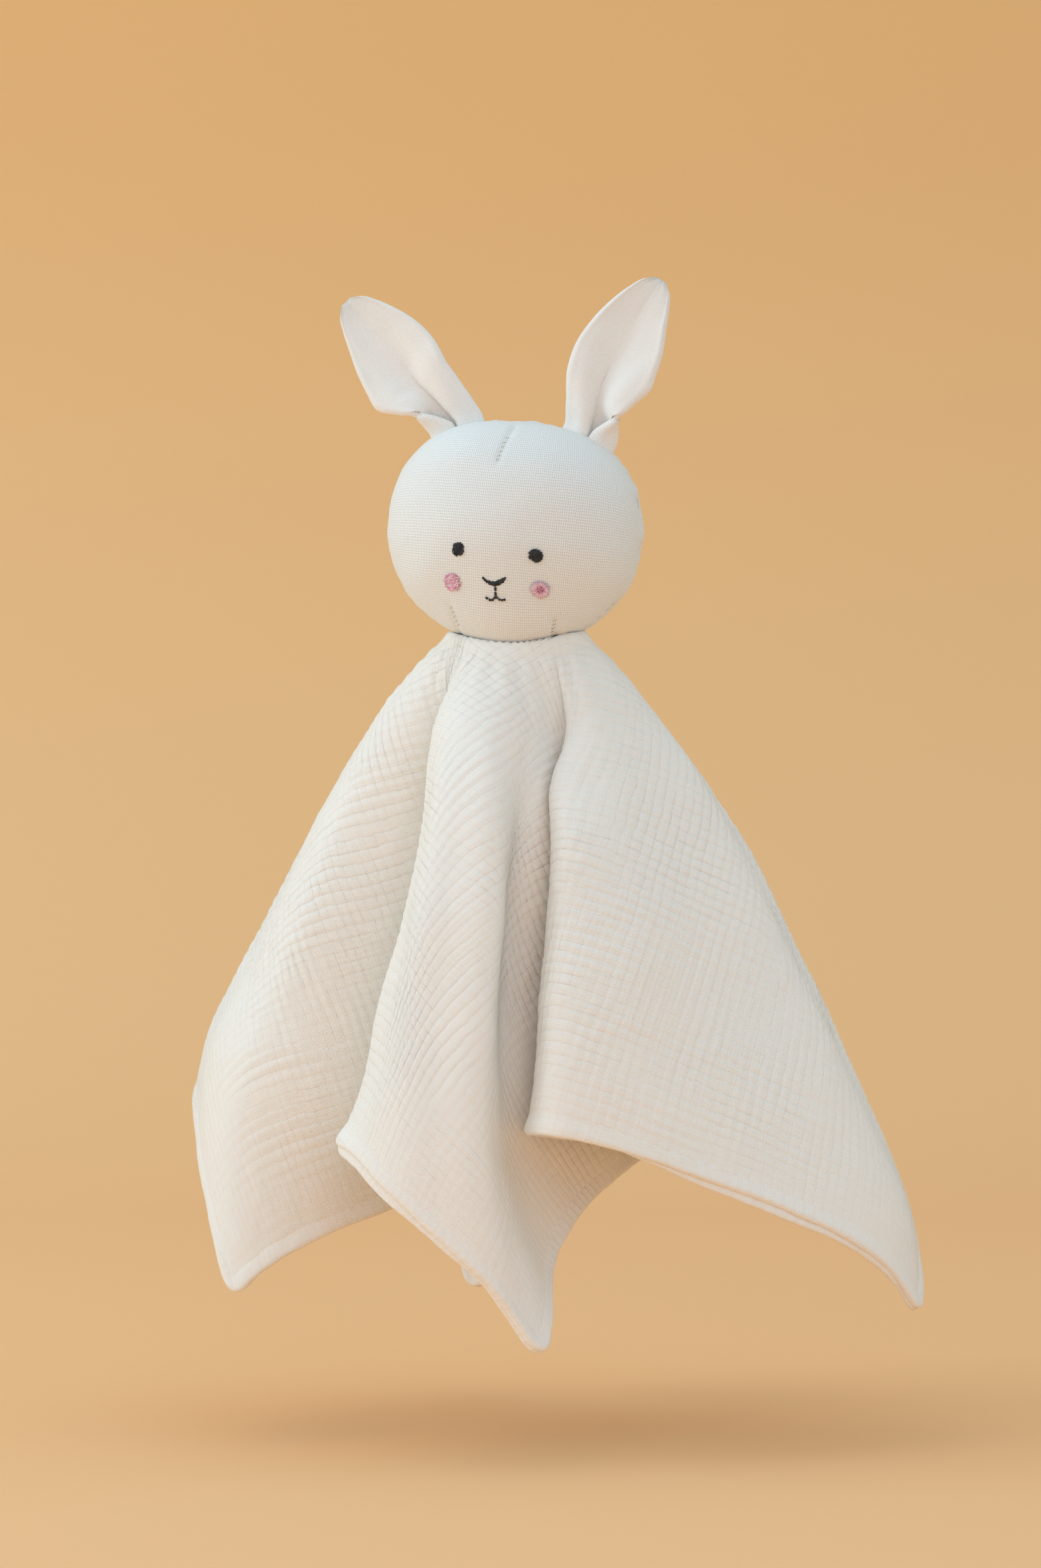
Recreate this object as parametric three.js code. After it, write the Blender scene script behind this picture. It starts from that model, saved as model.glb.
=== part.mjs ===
// Comfort blanket lovey: a stuffed bunny head on the middle of a square muslin blanket, hanging from its crown.
// Millimetres, +Z up, the face looks along -Y, the origin is the crown where a hand holds it.
import * as THREE from 'three';

// Head
const headWidth = 94;
const headHeight = 83;
const headDepth = 79;
const headGirthPower = 2.2;
const headTopPower = 2.4;
const headChinPower = 2;
const headLeanDeg = 5.3;
const crownToHeadCentre = 41.4;
const panelThickness = 1;
const seamGap = 0.9;
const fillingInset = 1.7;
const clearance = 0.3;
const seamThread = 0.3;
const headPanelColumns = 36;
const headPanelRows = 8;
const fillingColumns = 28;
const fillingRows = 14;

// Neck: the head's underside is a shallow ball, and the blanket's middle is a cup that hugs it
const neckBallRadius = 66;
const neckPivotAboveHeadCentre = 25.5;
const neckThread = 0.6;
const tackRingRadius = 9;
const neckSeamRingRadius = 22.5;
const cupEase = 0.3;
const neckRingSides = 6;
const tackRingSteps = 18;
const neckSeamRingSteps = 36;

// Face, measured on the head from its centre: across, up, and the size of each stitched patch
const eyeAcross = 14.2;
const eyeDrop = 8.6;
const eyeWidth = 4.9;
const eyeHeight = 5.3;
const cheekAcross = 16.2;
const cheekDrop = 20.6;
const cheekWidth = 7.2;
const cheekHeight = 6.8;
const noseDrop = 18.6;
const noseWidth = 8.3;
const noseHeight = 3.4;
const stemTopDrop = 20.8;
const stemLength = 3.3;
const mouthDrop = 24.4;
const mouthWidth = 7.6;
const mouthDip = 1.3;
const faceThread = 0.8;
const stitchRise = 0.8;
const patchColumns = 14;
const patchRings = 3;

// Darts that round the front panel: a forehead dart and two chin darts
const foreheadDartTop = { across: -2.2, up: 37.6 };
const foreheadDartEnd = { across: -4.3, up: 24.4 };
const chinDartTop = { across: 20.4, up: -29 };
const chinDartEnd = { across: 17.2, up: -35.2 };
const dartThread = 0.5;

// Ears: a flat seamed leaf whose sides cup forward above its tucked base
const earLength = 62;
const earArcWidth = 34.5;
const earLayer = 0.8;
const earWadding = 1;
const earBaseRoll = 3;
const earBaseLength = 20;
const earColumnShares = [-1, -0.86, -0.58, -0.29, 0, 0.29, 0.58, 0.86, 1];
const earRowShares = [0, 0.05, 0.13, 0.22, 0.31, 0.4, 0.5, 0.6, 0.7, 0.8, 0.88, 0.95, 1];
const earSpineSteps = 60;
const earStationShares = [0, 0.08, 0.2, 0.3, 0.45, 0.6, 0.75, 0.88, 0.96, 1];
const earWidthShares = [0.56, 0.66, 0.9, 0.98, 1, 0.91, 0.73, 0.46, 0.24, 0.08];
const earCupDeg = [12, 44, 86, 74, 54, 43, 36, 28, 20, 12];
const earSquareBaseShare = 0.2;
const leftEar = { hand: -1, seatDeg: 38, slopeDeg: 28, headingDeg: [2, 14, 18, 20, 22] };
const rightEar = { hand: 1, seatDeg: 34, slopeDeg: 20, headingDeg: [-8, -6, -2, 2, 6] };

// Blanket: a square of two muslin layers, sewn round the edge and turned
const blanketSide = 424;
const blanketCorner = 9;
const clothLayer = 0.9;
const clothGap = 0.5;
const edgeRoll = 2.2;
const edgeRollSides = 6;
const blanketTurnDeg = 8.5;
const neckOffset = -1.5;
const cupReach = 24.5;
const neckReach = 27;
const neckRadius = 27.3;
const bendReach = 33;
const foldReach = 212;
const neckFlareShare = 1.35;
const neckSwayShare = 0.25;
const tipFlareShare = 1.16;
const steepestShare = 0.3;
const hangSteps = 48;
const normalSpread = 5;
const cupRingShares = [0.5, 1];
const bendRingShares = [0.45, 1];
const skirtRingShares = [0.09, 0.23, 0.39, 0.56, 0.72, 0.87, 1];
const widestStationDeg = 12;

// The cloth takes up some of its length in crinkles, most of it round the left corner
const crinkleShare = 0.006;
const crinkles = [
  { atDeg: 168, overDeg: 34, share: 0.058 },
  { atDeg: 262, overDeg: 30, share: 0.024 },
  { atDeg: 90, overDeg: 40, share: 0.034 },
];

// How the cloth hangs. Each line runs from the neck to the edge: its angle on the flat square and at the neck,
// then how far right and back it hangs at foldReach, and for some at the corner's reach, as shares of the side.
// flare is how steeply it leaves the neck sideways, against a straight line to its fold.
const hangLineShares = [
  { flat: 0, neck: -4, fold: [0.278, -0.057], tip: [0.34, -0.08] },
  { flat: 5, neck: 2, fold: [0.282, -0.038], tip: [0.345, -0.055] },
  { flat: 10, neck: 8, fold: [0.283, -0.014], tip: [0.333, -0.024] },
  { flat: 20, neck: 20, fold: [0.25, 0.024] },
  { flat: 30, neck: 28, fold: [0.189, 0.028] },
  { flat: 39, neck: 36, fold: [0.146, 0.052] },
  { flat: 48, neck: 46, fold: [0.16, 0.123] },
  { flat: 57, neck: 56, fold: [0.146, 0.203] },
  { flat: 65, neck: 66, fold: [0.104, 0.222] },
  { flat: 73, neck: 73, fold: [0.066, 0.17] },
  { flat: 81, neck: 82, fold: [0.024, 0.123], tip: [0.024, 0.156] },
  { flat: 90, neck: 93, fold: [-0.028, 0.184], tip: [-0.045, 0.222] },
  { flat: 98, neck: 102, fold: [-0.066, 0.222], tip: [-0.08, 0.255] },
  { flat: 106, neck: 110, fold: [-0.104, 0.193] },
  { flat: 114, neck: 116, fold: [-0.099, 0.132] },
  { flat: 122, neck: 122, fold: [-0.127, 0.113] },
  { flat: 131, neck: 130, fold: [-0.17, 0.156] },
  { flat: 140, neck: 140, flare: 1.15, fold: [-0.217, 0.146] },
  { flat: 149, neck: 150, flare: 1.05, fold: [-0.212, 0.09] },
  { flat: 157, neck: 160, flare: 1.02, fold: [-0.268, 0.047], tip: [-0.288, 0.05] },
  { flat: 168, neck: 174, flare: 1.02, fold: [-0.269, 0.005], tip: [-0.284, -0.005] },
  { flat: 180, neck: 188, flare: 1.1, fold: [-0.234, -0.061], tip: [-0.243, -0.071] },
  { flat: 191, neck: 198, flare: 1.2, fold: [-0.156, -0.061], tip: [-0.175, -0.08] },
  { flat: 201, neck: 205, fold: [-0.08, -0.019] },
  { flat: 209, neck: 210, fold: [-0.038, 0.009] },
  { flat: 217, neck: 213, fold: [-0.047, -0.028] },
  { flat: 229, neck: 216, fold: [-0.104, -0.08] },
  { flat: 240, neck: 220, fold: [-0.156, -0.142] },
  { flat: 250, neck: 232, fold: [-0.127, -0.198] },
  { flat: 261, neck: 250, fold: [-0.071, -0.212], tip: [-0.056, -0.241] },
  { flat: 270, neck: 266, fold: [-0.024, -0.189], tip: [0.019, -0.226] },
  { flat: 278, neck: 276, fold: [0.007, -0.142], tip: [0.059, -0.17] },
  { flat: 286, neck: 284, fold: [0.042, -0.09], tip: [0.099, -0.104] },
  { flat: 294, neck: 290, fold: [0.094, -0.038], tip: [0.127, -0.047] },
  { flat: 300, neck: 295, fold: [0.127, -0.019] },
  { flat: 306, neck: 300, fold: [0.13, -0.052] },
  { flat: 312, neck: 305, fold: [0.075, -0.104] },
  { flat: 319, neck: 310, fold: [0.01, -0.156] },
  { flat: 325, neck: 316, fold: [0.016, -0.203] },
  { flat: 335, neck: 326, fold: [0.094, -0.193] },
  { flat: 347, neck: 342, fold: [0.196, -0.132], tip: [0.245, -0.165] },
];

const fullTurnDeg = 360;

const headCloth = new THREE.MeshStandardMaterial({ color: 0xe6e6e0, roughness: 0.95, metalness: 0 });
const earCloth = new THREE.MeshStandardMaterial({ color: 0xe4e2da, roughness: 0.95, metalness: 0 });
const muslin = new THREE.MeshStandardMaterial({ color: 0xe6dfd6, roughness: 0.95, metalness: 0 });
const wadding = new THREE.MeshStandardMaterial({ color: 0xf4f3f0, roughness: 1, metalness: 0 });
const whiteThread = new THREE.MeshStandardMaterial({ color: 0xece8e0, roughness: 0.8, metalness: 0 });
const blackThread = new THREE.MeshStandardMaterial({ color: 0x343335, roughness: 0.6, metalness: 0 });
const pinkThread = new THREE.MeshStandardMaterial({ color: 0xd98ba0, roughness: 0.6, metalness: 0 });

const rad = THREE.MathUtils.degToRad;
const fullTurn = 2 * Math.PI;
const vec = (x, y, z) => new THREE.Vector3(x, y, z);

// A smooth curve through values at uneven stations (Barry and Goldman's form of Catmull-Rom)
function splineValue(stations, values, at) {
  const last = stations.length - 2;
  let i = 0;
  while (i < last && at > stations[i + 1]) i += 1;
  const t = [-1, 0, 1, 2].map((k) => {
    const j = THREE.MathUtils.clamp(i + k, 0, last + 1);
    return stations[j] + (i + k - j) * (stations[i + 1] - stations[i]);
  });
  const v = [-1, 0, 1, 2].map((k) => values[THREE.MathUtils.clamp(i + k, 0, last + 1)]);
  const mix = (a, b, ta, tb) => (a * (tb - at) + b * (at - ta)) / (tb - ta);
  const a = [0, 1, 2].map((k) => mix(v[k], v[k + 1], t[k], t[k + 1]));
  const b = [0, 1].map((k) => mix(a[k], a[k + 1], t[k], t[k + 2]));
  return mix(b[0], b[1], t[1], t[2]);
}

// A closed body from its vertices and faces, turned so that its faces point out
function closedBody(points, faces) {
  let volume = 0;
  for (const [a, b, c] of faces) volume += points[a].dot(vec(0, 0, 0).crossVectors(points[b], points[c]));
  const index = faces.flatMap(([a, b, c]) => (volume > 0 ? [a, b, c] : [a, c, b]));
  const geometry = new THREE.BufferGeometry().setFromPoints(points);
  geometry.setIndex(index);
  geometry.computeVertexNormals();
  return geometry;
}

const quad = (a, b, c, d) => [[a, b, c], [a, c, d]];

// A thick layer that runs round a middle point: pointAt(column, row, side), with row 0 the middle on both sides
function roundLayer(pointAt, columns, rows) {
  const points = [];
  const faces = [];
  const sideSize = 1 + columns * rows;
  for (const side of [0, 1]) {
    points.push(pointAt(0, 0, side));
    for (let row = 1; row <= rows; row += 1) {
      for (let column = 0; column < columns; column += 1) points.push(pointAt(column, row, side));
    }
  }
  const at = (column, row, side) => side * sideSize + (row ? 1 + (row - 1) * columns + (column % columns) : 0);
  for (let column = 0; column < columns; column += 1) {
    const next = column + 1;
    faces.push([at(0, 0, 0), at(column, 1, 0), at(next, 1, 0)]);
    faces.push([at(0, 0, 1), at(next, 1, 1), at(column, 1, 1)]);
    for (let row = 1; row < rows; row += 1) {
      faces.push(...quad(at(column, row, 0), at(column, row + 1, 0), at(next, row + 1, 0), at(next, row, 0)));
      faces.push(...quad(at(column, row, 1), at(next, row, 1), at(next, row + 1, 1), at(column, row + 1, 1)));
    }
    faces.push(...quad(at(column, rows, 0), at(column, rows, 1), at(next, rows, 1), at(next, rows, 0)));
  }
  return closedBody(points, faces);
}

// A thick layer with four edges: pointAt(column, row, side)
function leafLayer(pointAt, columns, rows) {
  const points = [];
  const faces = [];
  const sideSize = (columns + 1) * (rows + 1);
  for (const side of [0, 1]) {
    for (let row = 0; row <= rows; row += 1) {
      for (let column = 0; column <= columns; column += 1) points.push(pointAt(column, row, side));
    }
  }
  const at = (column, row, side) => side * sideSize + row * (columns + 1) + column;
  for (let row = 0; row < rows; row += 1) {
    for (let column = 0; column < columns; column += 1) {
      const up = row + 1;
      const next = column + 1;
      faces.push(...quad(at(column, row, 0), at(next, row, 0), at(next, up, 0), at(column, up, 0)));
      faces.push(...quad(at(column, row, 1), at(column, up, 1), at(next, up, 1), at(next, row, 1)));
    }
    faces.push(...quad(at(0, row, 0), at(0, row + 1, 0), at(0, row + 1, 1), at(0, row, 1)));
    faces.push(...quad(at(columns, row, 0), at(columns, row, 1), at(columns, row + 1, 1), at(columns, row + 1, 0)));
  }
  for (let column = 0; column < columns; column += 1) {
    const next = column + 1;
    faces.push(...quad(at(column, 0, 0), at(column, 0, 1), at(next, 0, 1), at(next, 0, 0)));
    faces.push(...quad(at(column, rows, 0), at(next, rows, 0), at(next, rows, 1), at(column, rows, 1)));
  }
  return closedBody(points, faces);
}

// A closed loop of cord: its centres and, at each, the direction that its section starts from
function cordLoop(centres, upwards, thickness, sides) {
  const count = centres.length;
  const points = [];
  const faces = [];
  centres.forEach((centre, i) => {
    const along = centres[(i + 1) % count].clone().sub(centres[(i + count - 1) % count]).normalize();
    const across = vec(0, 0, 0).crossVectors(along, upwards[i]).normalize();
    const up = vec(0, 0, 0).crossVectors(across, along);
    for (let side = 0; side < sides; side += 1) {
      const turn = (fullTurn * side) / sides;
      const offset = across.clone().multiplyScalar(Math.cos(turn)).addScaledVector(up, Math.sin(turn));
      points.push(centre.clone().addScaledVector(offset, thickness / 2));
    }
  });
  for (let i = 0; i < count; i += 1) {
    for (let side = 0; side < sides; side += 1) {
      const next = ((i + 1) % count) * sides;
      const turn = (side + 1) % sides;
      faces.push(...quad(i * sides + side, next + side, next + turn, i * sides + turn));
    }
  }
  return closedBody(points, faces);
}

// A stitched line: an open thread with a square section along a few points
function threadLine(points, thickness, steps) {
  const section = new THREE.Shape([
    new THREE.Vector2(-thickness / 2, -thickness / 2),
    new THREE.Vector2(thickness / 2, -thickness / 2),
    new THREE.Vector2(thickness / 2, thickness / 2),
    new THREE.Vector2(-thickness / 2, thickness / 2),
  ]);
  const path = new THREE.CatmullRomCurve3(points);
  return new THREE.ExtrudeGeometry(section, { steps, extrudePath: path, bevelEnabled: false });
}

function namedMesh(name, geometry, material) {
  const mesh = new THREE.Mesh(geometry, material);
  mesh.name = name;
  return mesh;
}

// The head's surface, measured from the neck pivot, with the head's centre below it
const headCentre = vec(0, 0, -neckPivotAboveHeadCentre);

function headReach(direction) {
  const power = direction.z > 0 ? headTopPower : headChinPower;
  const across = Math.abs(direction.x / (headWidth / 2)) ** headGirthPower;
  const through = Math.abs(direction.y / (headDepth / 2)) ** headGirthPower;
  const girth = (across + through) ** (1 / headGirthPower);
  const tall = Math.abs(direction.z / (headHeight / 2));
  const stuffed = (girth ** power + tall ** power) ** (-1 / power);
  const along = headCentre.dot(direction);
  const ball = -along + Math.sqrt(along ** 2 + neckBallRadius ** 2 - headCentre.lengthSq());
  return Math.min(stuffed, ball);
}

const headPoint = (direction, rise) => headCentre.clone().addScaledVector(direction, headReach(direction) + rise);

// A point of the front panel by its place across and up, found along the direction that gives that place
function facePoint(across, up, rise) {
  const direction = vec(across, -headDepth / 2, up).normalize();
  for (let i = 0; i < 12; i += 1) {
    const point = direction.clone().multiplyScalar(headReach(direction));
    direction.x += (across - point.x) / headWidth;
    direction.z += (up - point.z) / headWidth;
    direction.normalize();
  }
  return headPoint(direction, rise).add(vec(0, -seamGap / 2, 0));
}

function headPanel(name, front) {
  const facing = front ? -1 : 1;
  const pointAt = (column, row, side) => {
    const polar = (Math.PI / 2) * (row / headPanelRows);
    const round = (fullTurn * column) / headPanelColumns;
    const ring = Math.sin(polar);
    const direction = vec(ring * Math.cos(round), facing * Math.cos(polar), ring * Math.sin(round));
    return headPoint(direction, side ? -panelThickness : 0).add(vec(0, (facing * seamGap) / 2, 0));
  };
  return namedMesh(name, roundLayer(pointAt, headPanelColumns, headPanelRows), headCloth);
}

function headFilling() {
  const geometry = new THREE.SphereGeometry(1, fillingColumns, fillingRows);
  const points = geometry.attributes.position;
  for (let i = 0; i < points.count; i += 1) {
    const direction = vec(0, 0, 0).fromBufferAttribute(points, i).normalize();
    const point = headPoint(direction, -fillingInset);
    points.setXYZ(i, point.x, point.y, point.z);
  }
  geometry.computeVertexNormals();
  return namedMesh('head_filling', geometry, wadding);
}

function sideSeamThread() {
  const directions = Array.from({ length: headPanelColumns }, (_, i) => {
    const round = (fullTurn * i) / headPanelColumns;
    return vec(Math.cos(round), 0, Math.sin(round));
  });
  const centres = directions.map((direction) => headPoint(direction, -panelThickness / 2));
  return namedMesh('side_seam_thread', cordLoop(centres, directions, seamThread, neckRingSides), whiteThread);
}

// A padded patch of satin stitches on the front panel, its outline given as a share of its size at each angle
function stitchedPatch(name, place, size, outline, material) {
  const pointAt = (column, row, side) => {
    const round = (fullTurn * column) / patchColumns;
    const share = row / patchRings;
    const [across, up] = outline(round);
    const dome = side ? 0 : stitchRise * (1 - share ** 4) + clearance;
    return facePoint(
      place.across + (across * size.width * share) / 2,
      place.up + (up * size.height * share) / 2,
      clearance + dome,
    );
  };
  return namedMesh(name, roundLayer(pointAt, patchColumns, patchRings), material);
}

const roundOutline = (round) => [Math.cos(round), Math.sin(round)];

// The nose is a soft triangle: a nearly straight top and a full underside that narrows to the middle
function noseOutline(round) {
  const up = Math.sin(round);
  const narrowingShare = 0.35;
  return [Math.cos(round) * (up < 0 ? 1 + narrowingShare * up : 1), up < 0 ? up : up * (1 - narrowingShare)];
}

function faceThreadAt(places) {
  const rise = clearance + faceThread;
  return threadLine(places.map(([across, up]) => facePoint(across, up, rise)), faceThread, 2 * places.length);
}

function noseStem() {
  const top = -stemTopDrop - clearance;
  return namedMesh('nose_stem', faceThreadAt([[0, top], [0, top - stemLength / 2], [0, top - stemLength]]), blackThread);
}

// The smile: two shallow scoops that meet below the stem
function mouth() {
  const side = mouthWidth / 2;
  const places = [-1, -0.55, 0, 0.55, 1].map((share) => {
    const up = -mouthDrop + (share === 0 ? -faceThread / 2 : -mouthDip * (1 - share ** 4));
    return [share * side, up];
  });
  return namedMesh('mouth', faceThreadAt(places), blackThread);
}

function dartStitches(name, top, end, hand) {
  const middle = { across: (top.across + end.across) / 2, up: (top.up + end.up) / 2 };
  const places = [top, middle, end];
  const points = places.map((place) => facePoint(hand * place.across, place.up, clearance + dartThread));
  return namedMesh(name, threadLine(points, dartThread, 2 * places.length), whiteThread);
}

// One ear in its own frame: the hinge line of its base lies along X at the origin, and the ear rises along +Z
function earMiddle(hand, headingDeg) {
  const headingShares = headingDeg.map((_, i) => i / (headingDeg.length - 1));
  const spine = [vec(0, 0, 0)];
  const headings = [];
  for (let i = 0; i <= earSpineSteps; i += 1) {
    const heading = hand * rad(splineValue(headingShares, headingDeg, i / earSpineSteps));
    headings.push(heading);
    const step = vec(Math.sin(heading), 0, Math.cos(heading)).multiplyScalar(earLength / earSpineSteps);
    spine.push(spine[i].clone().add(step));
  }
  return (along, across) => {
    const i = Math.round(along * earSpineSteps);
    const cup = rad(splineValue(earStationShares, earCupDeg, along));
    const halfWidth = (earArcWidth / 2) * splineValue(earStationShares, earWidthShares, along);
    const bendRadius = halfWidth / cup;
    const turn = cup * across;
    const slant = headings[i] * Math.min(1, along / earSquareBaseShare);
    const sideways = vec(Math.cos(slant), 0, -Math.sin(slant));
    const point = spine[i].clone().addScaledVector(sideways, bendRadius * Math.sin(turn));
    point.y -= bendRadius * (1 - Math.cos(turn));
    const normal = sideways.multiplyScalar(-Math.sin(turn)).add(vec(0, -Math.cos(turn), 0));
    return { point, normal };
  };
}

// A layer of the ear, left out by so many columns and rows on every side
function earLeaf(name, middle, offsets, leftOut, material) {
  const startShare = (earBaseRoll / 2 + clearance) / earLength;
  const alongShares = earRowShares.slice(leftOut, earRowShares.length - leftOut);
  const acrossShares = earColumnShares.slice(leftOut, earColumnShares.length - leftOut);
  const pointAt = (column, row, side) => {
    const along = THREE.MathUtils.lerp(startShare, 1, alongShares[row]);
    const { point, normal } = middle(along, acrossShares[column]);
    return point.addScaledVector(normal, offsets[side]);
  };
  return namedMesh(name, leafLayer(pointAt, acrossShares.length - 1, alongShares.length - 1), material);
}

function ear(prefix, { hand, seatDeg, slopeDeg, headingDeg }) {
  const middle = earMiddle(hand, headingDeg);
  const inner = earWadding / 2 + clearance;
  const baseRoll = new THREE.CapsuleGeometry(earBaseRoll / 2, earBaseLength - earBaseRoll, 3, 8);
  baseRoll.rotateZ(Math.PI / 2);
  const group = new THREE.Group();
  group.add(
    earLeaf(`${prefix}_ear_front`, middle, [inner, inner + earLayer], 0, earCloth),
    earLeaf(`${prefix}_ear_back`, middle, [-inner, -inner - earLayer], 0, earCloth),
    earLeaf(`${prefix}_ear_wadding`, middle, [-earWadding / 2, earWadding / 2], 1, wadding),
    namedMesh(`${prefix}_ear_tuck`, baseRoll, earCloth),
  );
  const seat = rad(seatDeg);
  const seatDirection = vec(hand * Math.sin(seat), 0, Math.cos(seat));
  group.position.copy(headPoint(seatDirection, clearance + earBaseRoll / 2));
  group.rotation.y = hand * rad(slopeDeg);
  return group;
}

// The blanket hangs in its own group, its frame at the neck pivot: right, back and up
const cupTop = neckBallRadius + clearance + neckThread + clearance + cupEase;
const cupMiddle = cupTop + clothLayer + clothGap / 2;

function hangLines() {
  return hangLineShares.map((line) => {
    const neck = [neckRadius * Math.cos(rad(line.neck)) + neckOffset, neckRadius * Math.sin(rad(line.neck))];
    const fold = line.fold.map((share) => share * blanketSide);
    const tip = line.tip
      ? line.tip.map((share) => share * blanketSide)
      : fold.map((value, i) => neck[i] + (value - neck[i]) * tipFlareShare);
    const flare = line.flare ?? neckFlareShare;
    return { flat: line.flat, neckDeg: line.neck, values: [...neck, ...fold, ...tip, flare] };
  });
}

const lines = hangLines();
const wrapped = [-2, -1, 0, 1].flatMap((turn) => {
  const picks = { '-2': [], '-1': lines.slice(-2), 0: lines, 1: lines.slice(0, 2) };
  return picks[turn].map((line) => ({ ...line, flat: line.flat + fullTurnDeg * turn, neckDeg: line.neckDeg + fullTurnDeg * turn }));
});
const wrappedStations = wrapped.map((line) => line.flat);

function lineAt(flatDeg) {
  const pick = (i) => splineValue(wrappedStations, wrapped.map((line) => line.values[i]), flatDeg);
  const neckDeg = splineValue(wrappedStations, wrapped.map((line) => line.neckDeg), flatDeg);
  return { neckDeg, neck: [pick(0), pick(1)], fold: [pick(2), pick(3)], tip: [pick(4), pick(5)], flare: pick(6) };
}

const cornerArcReach = Math.SQRT2 * (blanketSide / 2 - blanketCorner);
const cornerHalfAngle = Math.atan(blanketCorner / (Math.SQRT2 * cornerArcReach + blanketCorner));

// Reach of the square's edge from its middle, with a corner on the X axis and each corner rounded
function edgeReach(flatDeg) {
  const fromCorner = rad(Math.abs(THREE.MathUtils.euclideanModulo(flatDeg + 45, 90) - 45));
  if (fromCorner >= cornerHalfAngle) return blanketSide / 2 / Math.cos(Math.PI / 4 - fromCorner);
  const aside = cornerArcReach * Math.sin(fromCorner);
  return cornerArcReach * Math.cos(fromCorner) + Math.sqrt(blanketCorner ** 2 - aside ** 2);
}

const tipReach = blanketSide / Math.SQRT2;

// Where a line hangs in plan at a reach: a smooth curve through its neck, fold and tip, which leaves the neck
// nearly straight out, so the folds open below it
function planAt(line, reach) {
  const upper = foldReach - neckReach;
  const lower = tipReach - foldReach;
  const slopes = [0, 1].map((i) => [(line.fold[i] - line.neck[i]) / upper, (line.tip[i] - line.fold[i]) / lower]);
  const straightOut = (slopes[0][0] * line.neck[0] + slopes[1][0] * line.neck[1]) / neckRadius ** 2;
  const above = reach <= foldReach;
  const span = above ? upper : lower;
  const u = (reach - (above ? neckReach : foldReach)) / span;
  return [0, 1].map((i) => {
    const [slopeUpper, slopeLower] = slopes[i];
    const slopeOut = straightOut * line.neck[i];
    const slopeNeck = line.flare * (slopeOut + neckSwayShare * (slopeUpper - slopeOut));
    const slopeMiddle = (slopeUpper * lower + slopeLower * upper) / (upper + lower);
    const [from, to] = above ? [line.neck[i], line.fold[i]] : [line.fold[i], line.tip[i]];
    const [slopeFrom, slopeTo] = above ? [slopeNeck, slopeMiddle] : [slopeMiddle, slopeLower];
    const bend = span * (slopeFrom * (u ** 3 - 2 * u ** 2 + u) + slopeTo * (u ** 3 - u ** 2));
    return from * (2 * u ** 3 - 3 * u ** 2 + 1) + to * (3 * u ** 2 - 2 * u ** 3) + bend;
  });
}

function clothKept(flatDeg) {
  const taken = crinkles.map(({ atDeg, overDeg, share }) => {
    const away = THREE.MathUtils.euclideanModulo(flatDeg - atDeg + 180, 360) - 180;
    return share * Math.exp(-((away / overDeg) ** 2));
  });
  return 1 - crinkleShare - taken.reduce((sum, share) => sum + share, 0);
}

function cupPoint(neckDeg, reach) {
  const turn = reach / cupMiddle;
  const out = cupMiddle * Math.sin(turn);
  return vec(out * Math.cos(rad(neckDeg)), out * Math.sin(rad(neckDeg)), -cupMiddle * Math.cos(turn));
}

// The hanging stretch of one line: each step goes sideways as the plan says and falls by what is left of it
function hangPoint(line, flatDeg, reach) {
  const kept = clothKept(flatDeg);
  const step = (tipReach - neckReach) / hangSteps;
  const cupEdge = cupPoint(line.neckDeg, neckReach);
  let height = cupEdge.z;
  let from = planAt(line, neckReach);
  for (let at = neckReach; at < reach; at += step) {
    const length = Math.min(step, reach - at);
    const to = planAt(line, at + length);
    const sideways = Math.hypot(to[0] - from[0], to[1] - from[1]);
    height -= Math.sqrt(Math.max((length * kept) ** 2 - sideways ** 2, (steepestShare * length) ** 2));
    from = to;
  }
  return vec(from[0], from[1], height);
}

// The cloth between its two layers: cup, bend over the neck, then the hanging folds
function clothPoint(flatDeg, reach) {
  const line = lineAt(flatDeg);
  if (reach <= cupReach) return cupPoint(line.neckDeg, reach);
  if (reach >= bendReach) return hangPoint(line, flatDeg, reach);
  const share = (reach - cupReach) / (bendReach - cupReach);
  const start = cupPoint(line.neckDeg, cupReach);
  const end = hangPoint(line, flatDeg, bendReach);
  const ridge = cupPoint(line.neckDeg, neckReach + clothLayer);
  return start.multiplyScalar((1 - share) ** 2)
    .addScaledVector(ridge, 2 * share * (1 - share))
    .addScaledVector(end, share ** 2);
}

function clothNormal(flatDeg, reach) {
  const stepDeg = THREE.MathUtils.radToDeg(normalSpread / reach);
  const step = clothLayer / 2;
  const round = clothPoint(flatDeg + stepDeg, reach).sub(clothPoint(flatDeg - stepDeg, reach));
  const down = clothPoint(flatDeg, reach + step).sub(clothPoint(flatDeg, reach - step));
  return vec(0, 0, 0).crossVectors(down, round).normalize();
}

function stationsRound() {
  const corner = THREE.MathUtils.radToDeg(cornerHalfAngle);
  return lines.flatMap((line, i) => {
    const next = i + 1 < lines.length ? lines[i + 1].flat : fullTurnDeg;
    const middle = next - line.flat < widestStationDeg ? [] : [(line.flat + next) / 2];
    const round = line.flat % 90 ? [line.flat] : [line.flat - corner, line.flat, line.flat + corner];
    return [...round, ...middle];
  });
}

const stations = stationsRound();

function ringReaches(flatDeg) {
  const cup = cupRingShares.map((share) => share * cupReach);
  const bend = bendRingShares.map((share) => THREE.MathUtils.lerp(cupReach, bendReach, share));
  const skirt = skirtRingShares.map((share) => THREE.MathUtils.lerp(bendReach, edgeReach(flatDeg), share));
  return [0, ...cup, ...bend, ...skirt];
}

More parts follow.
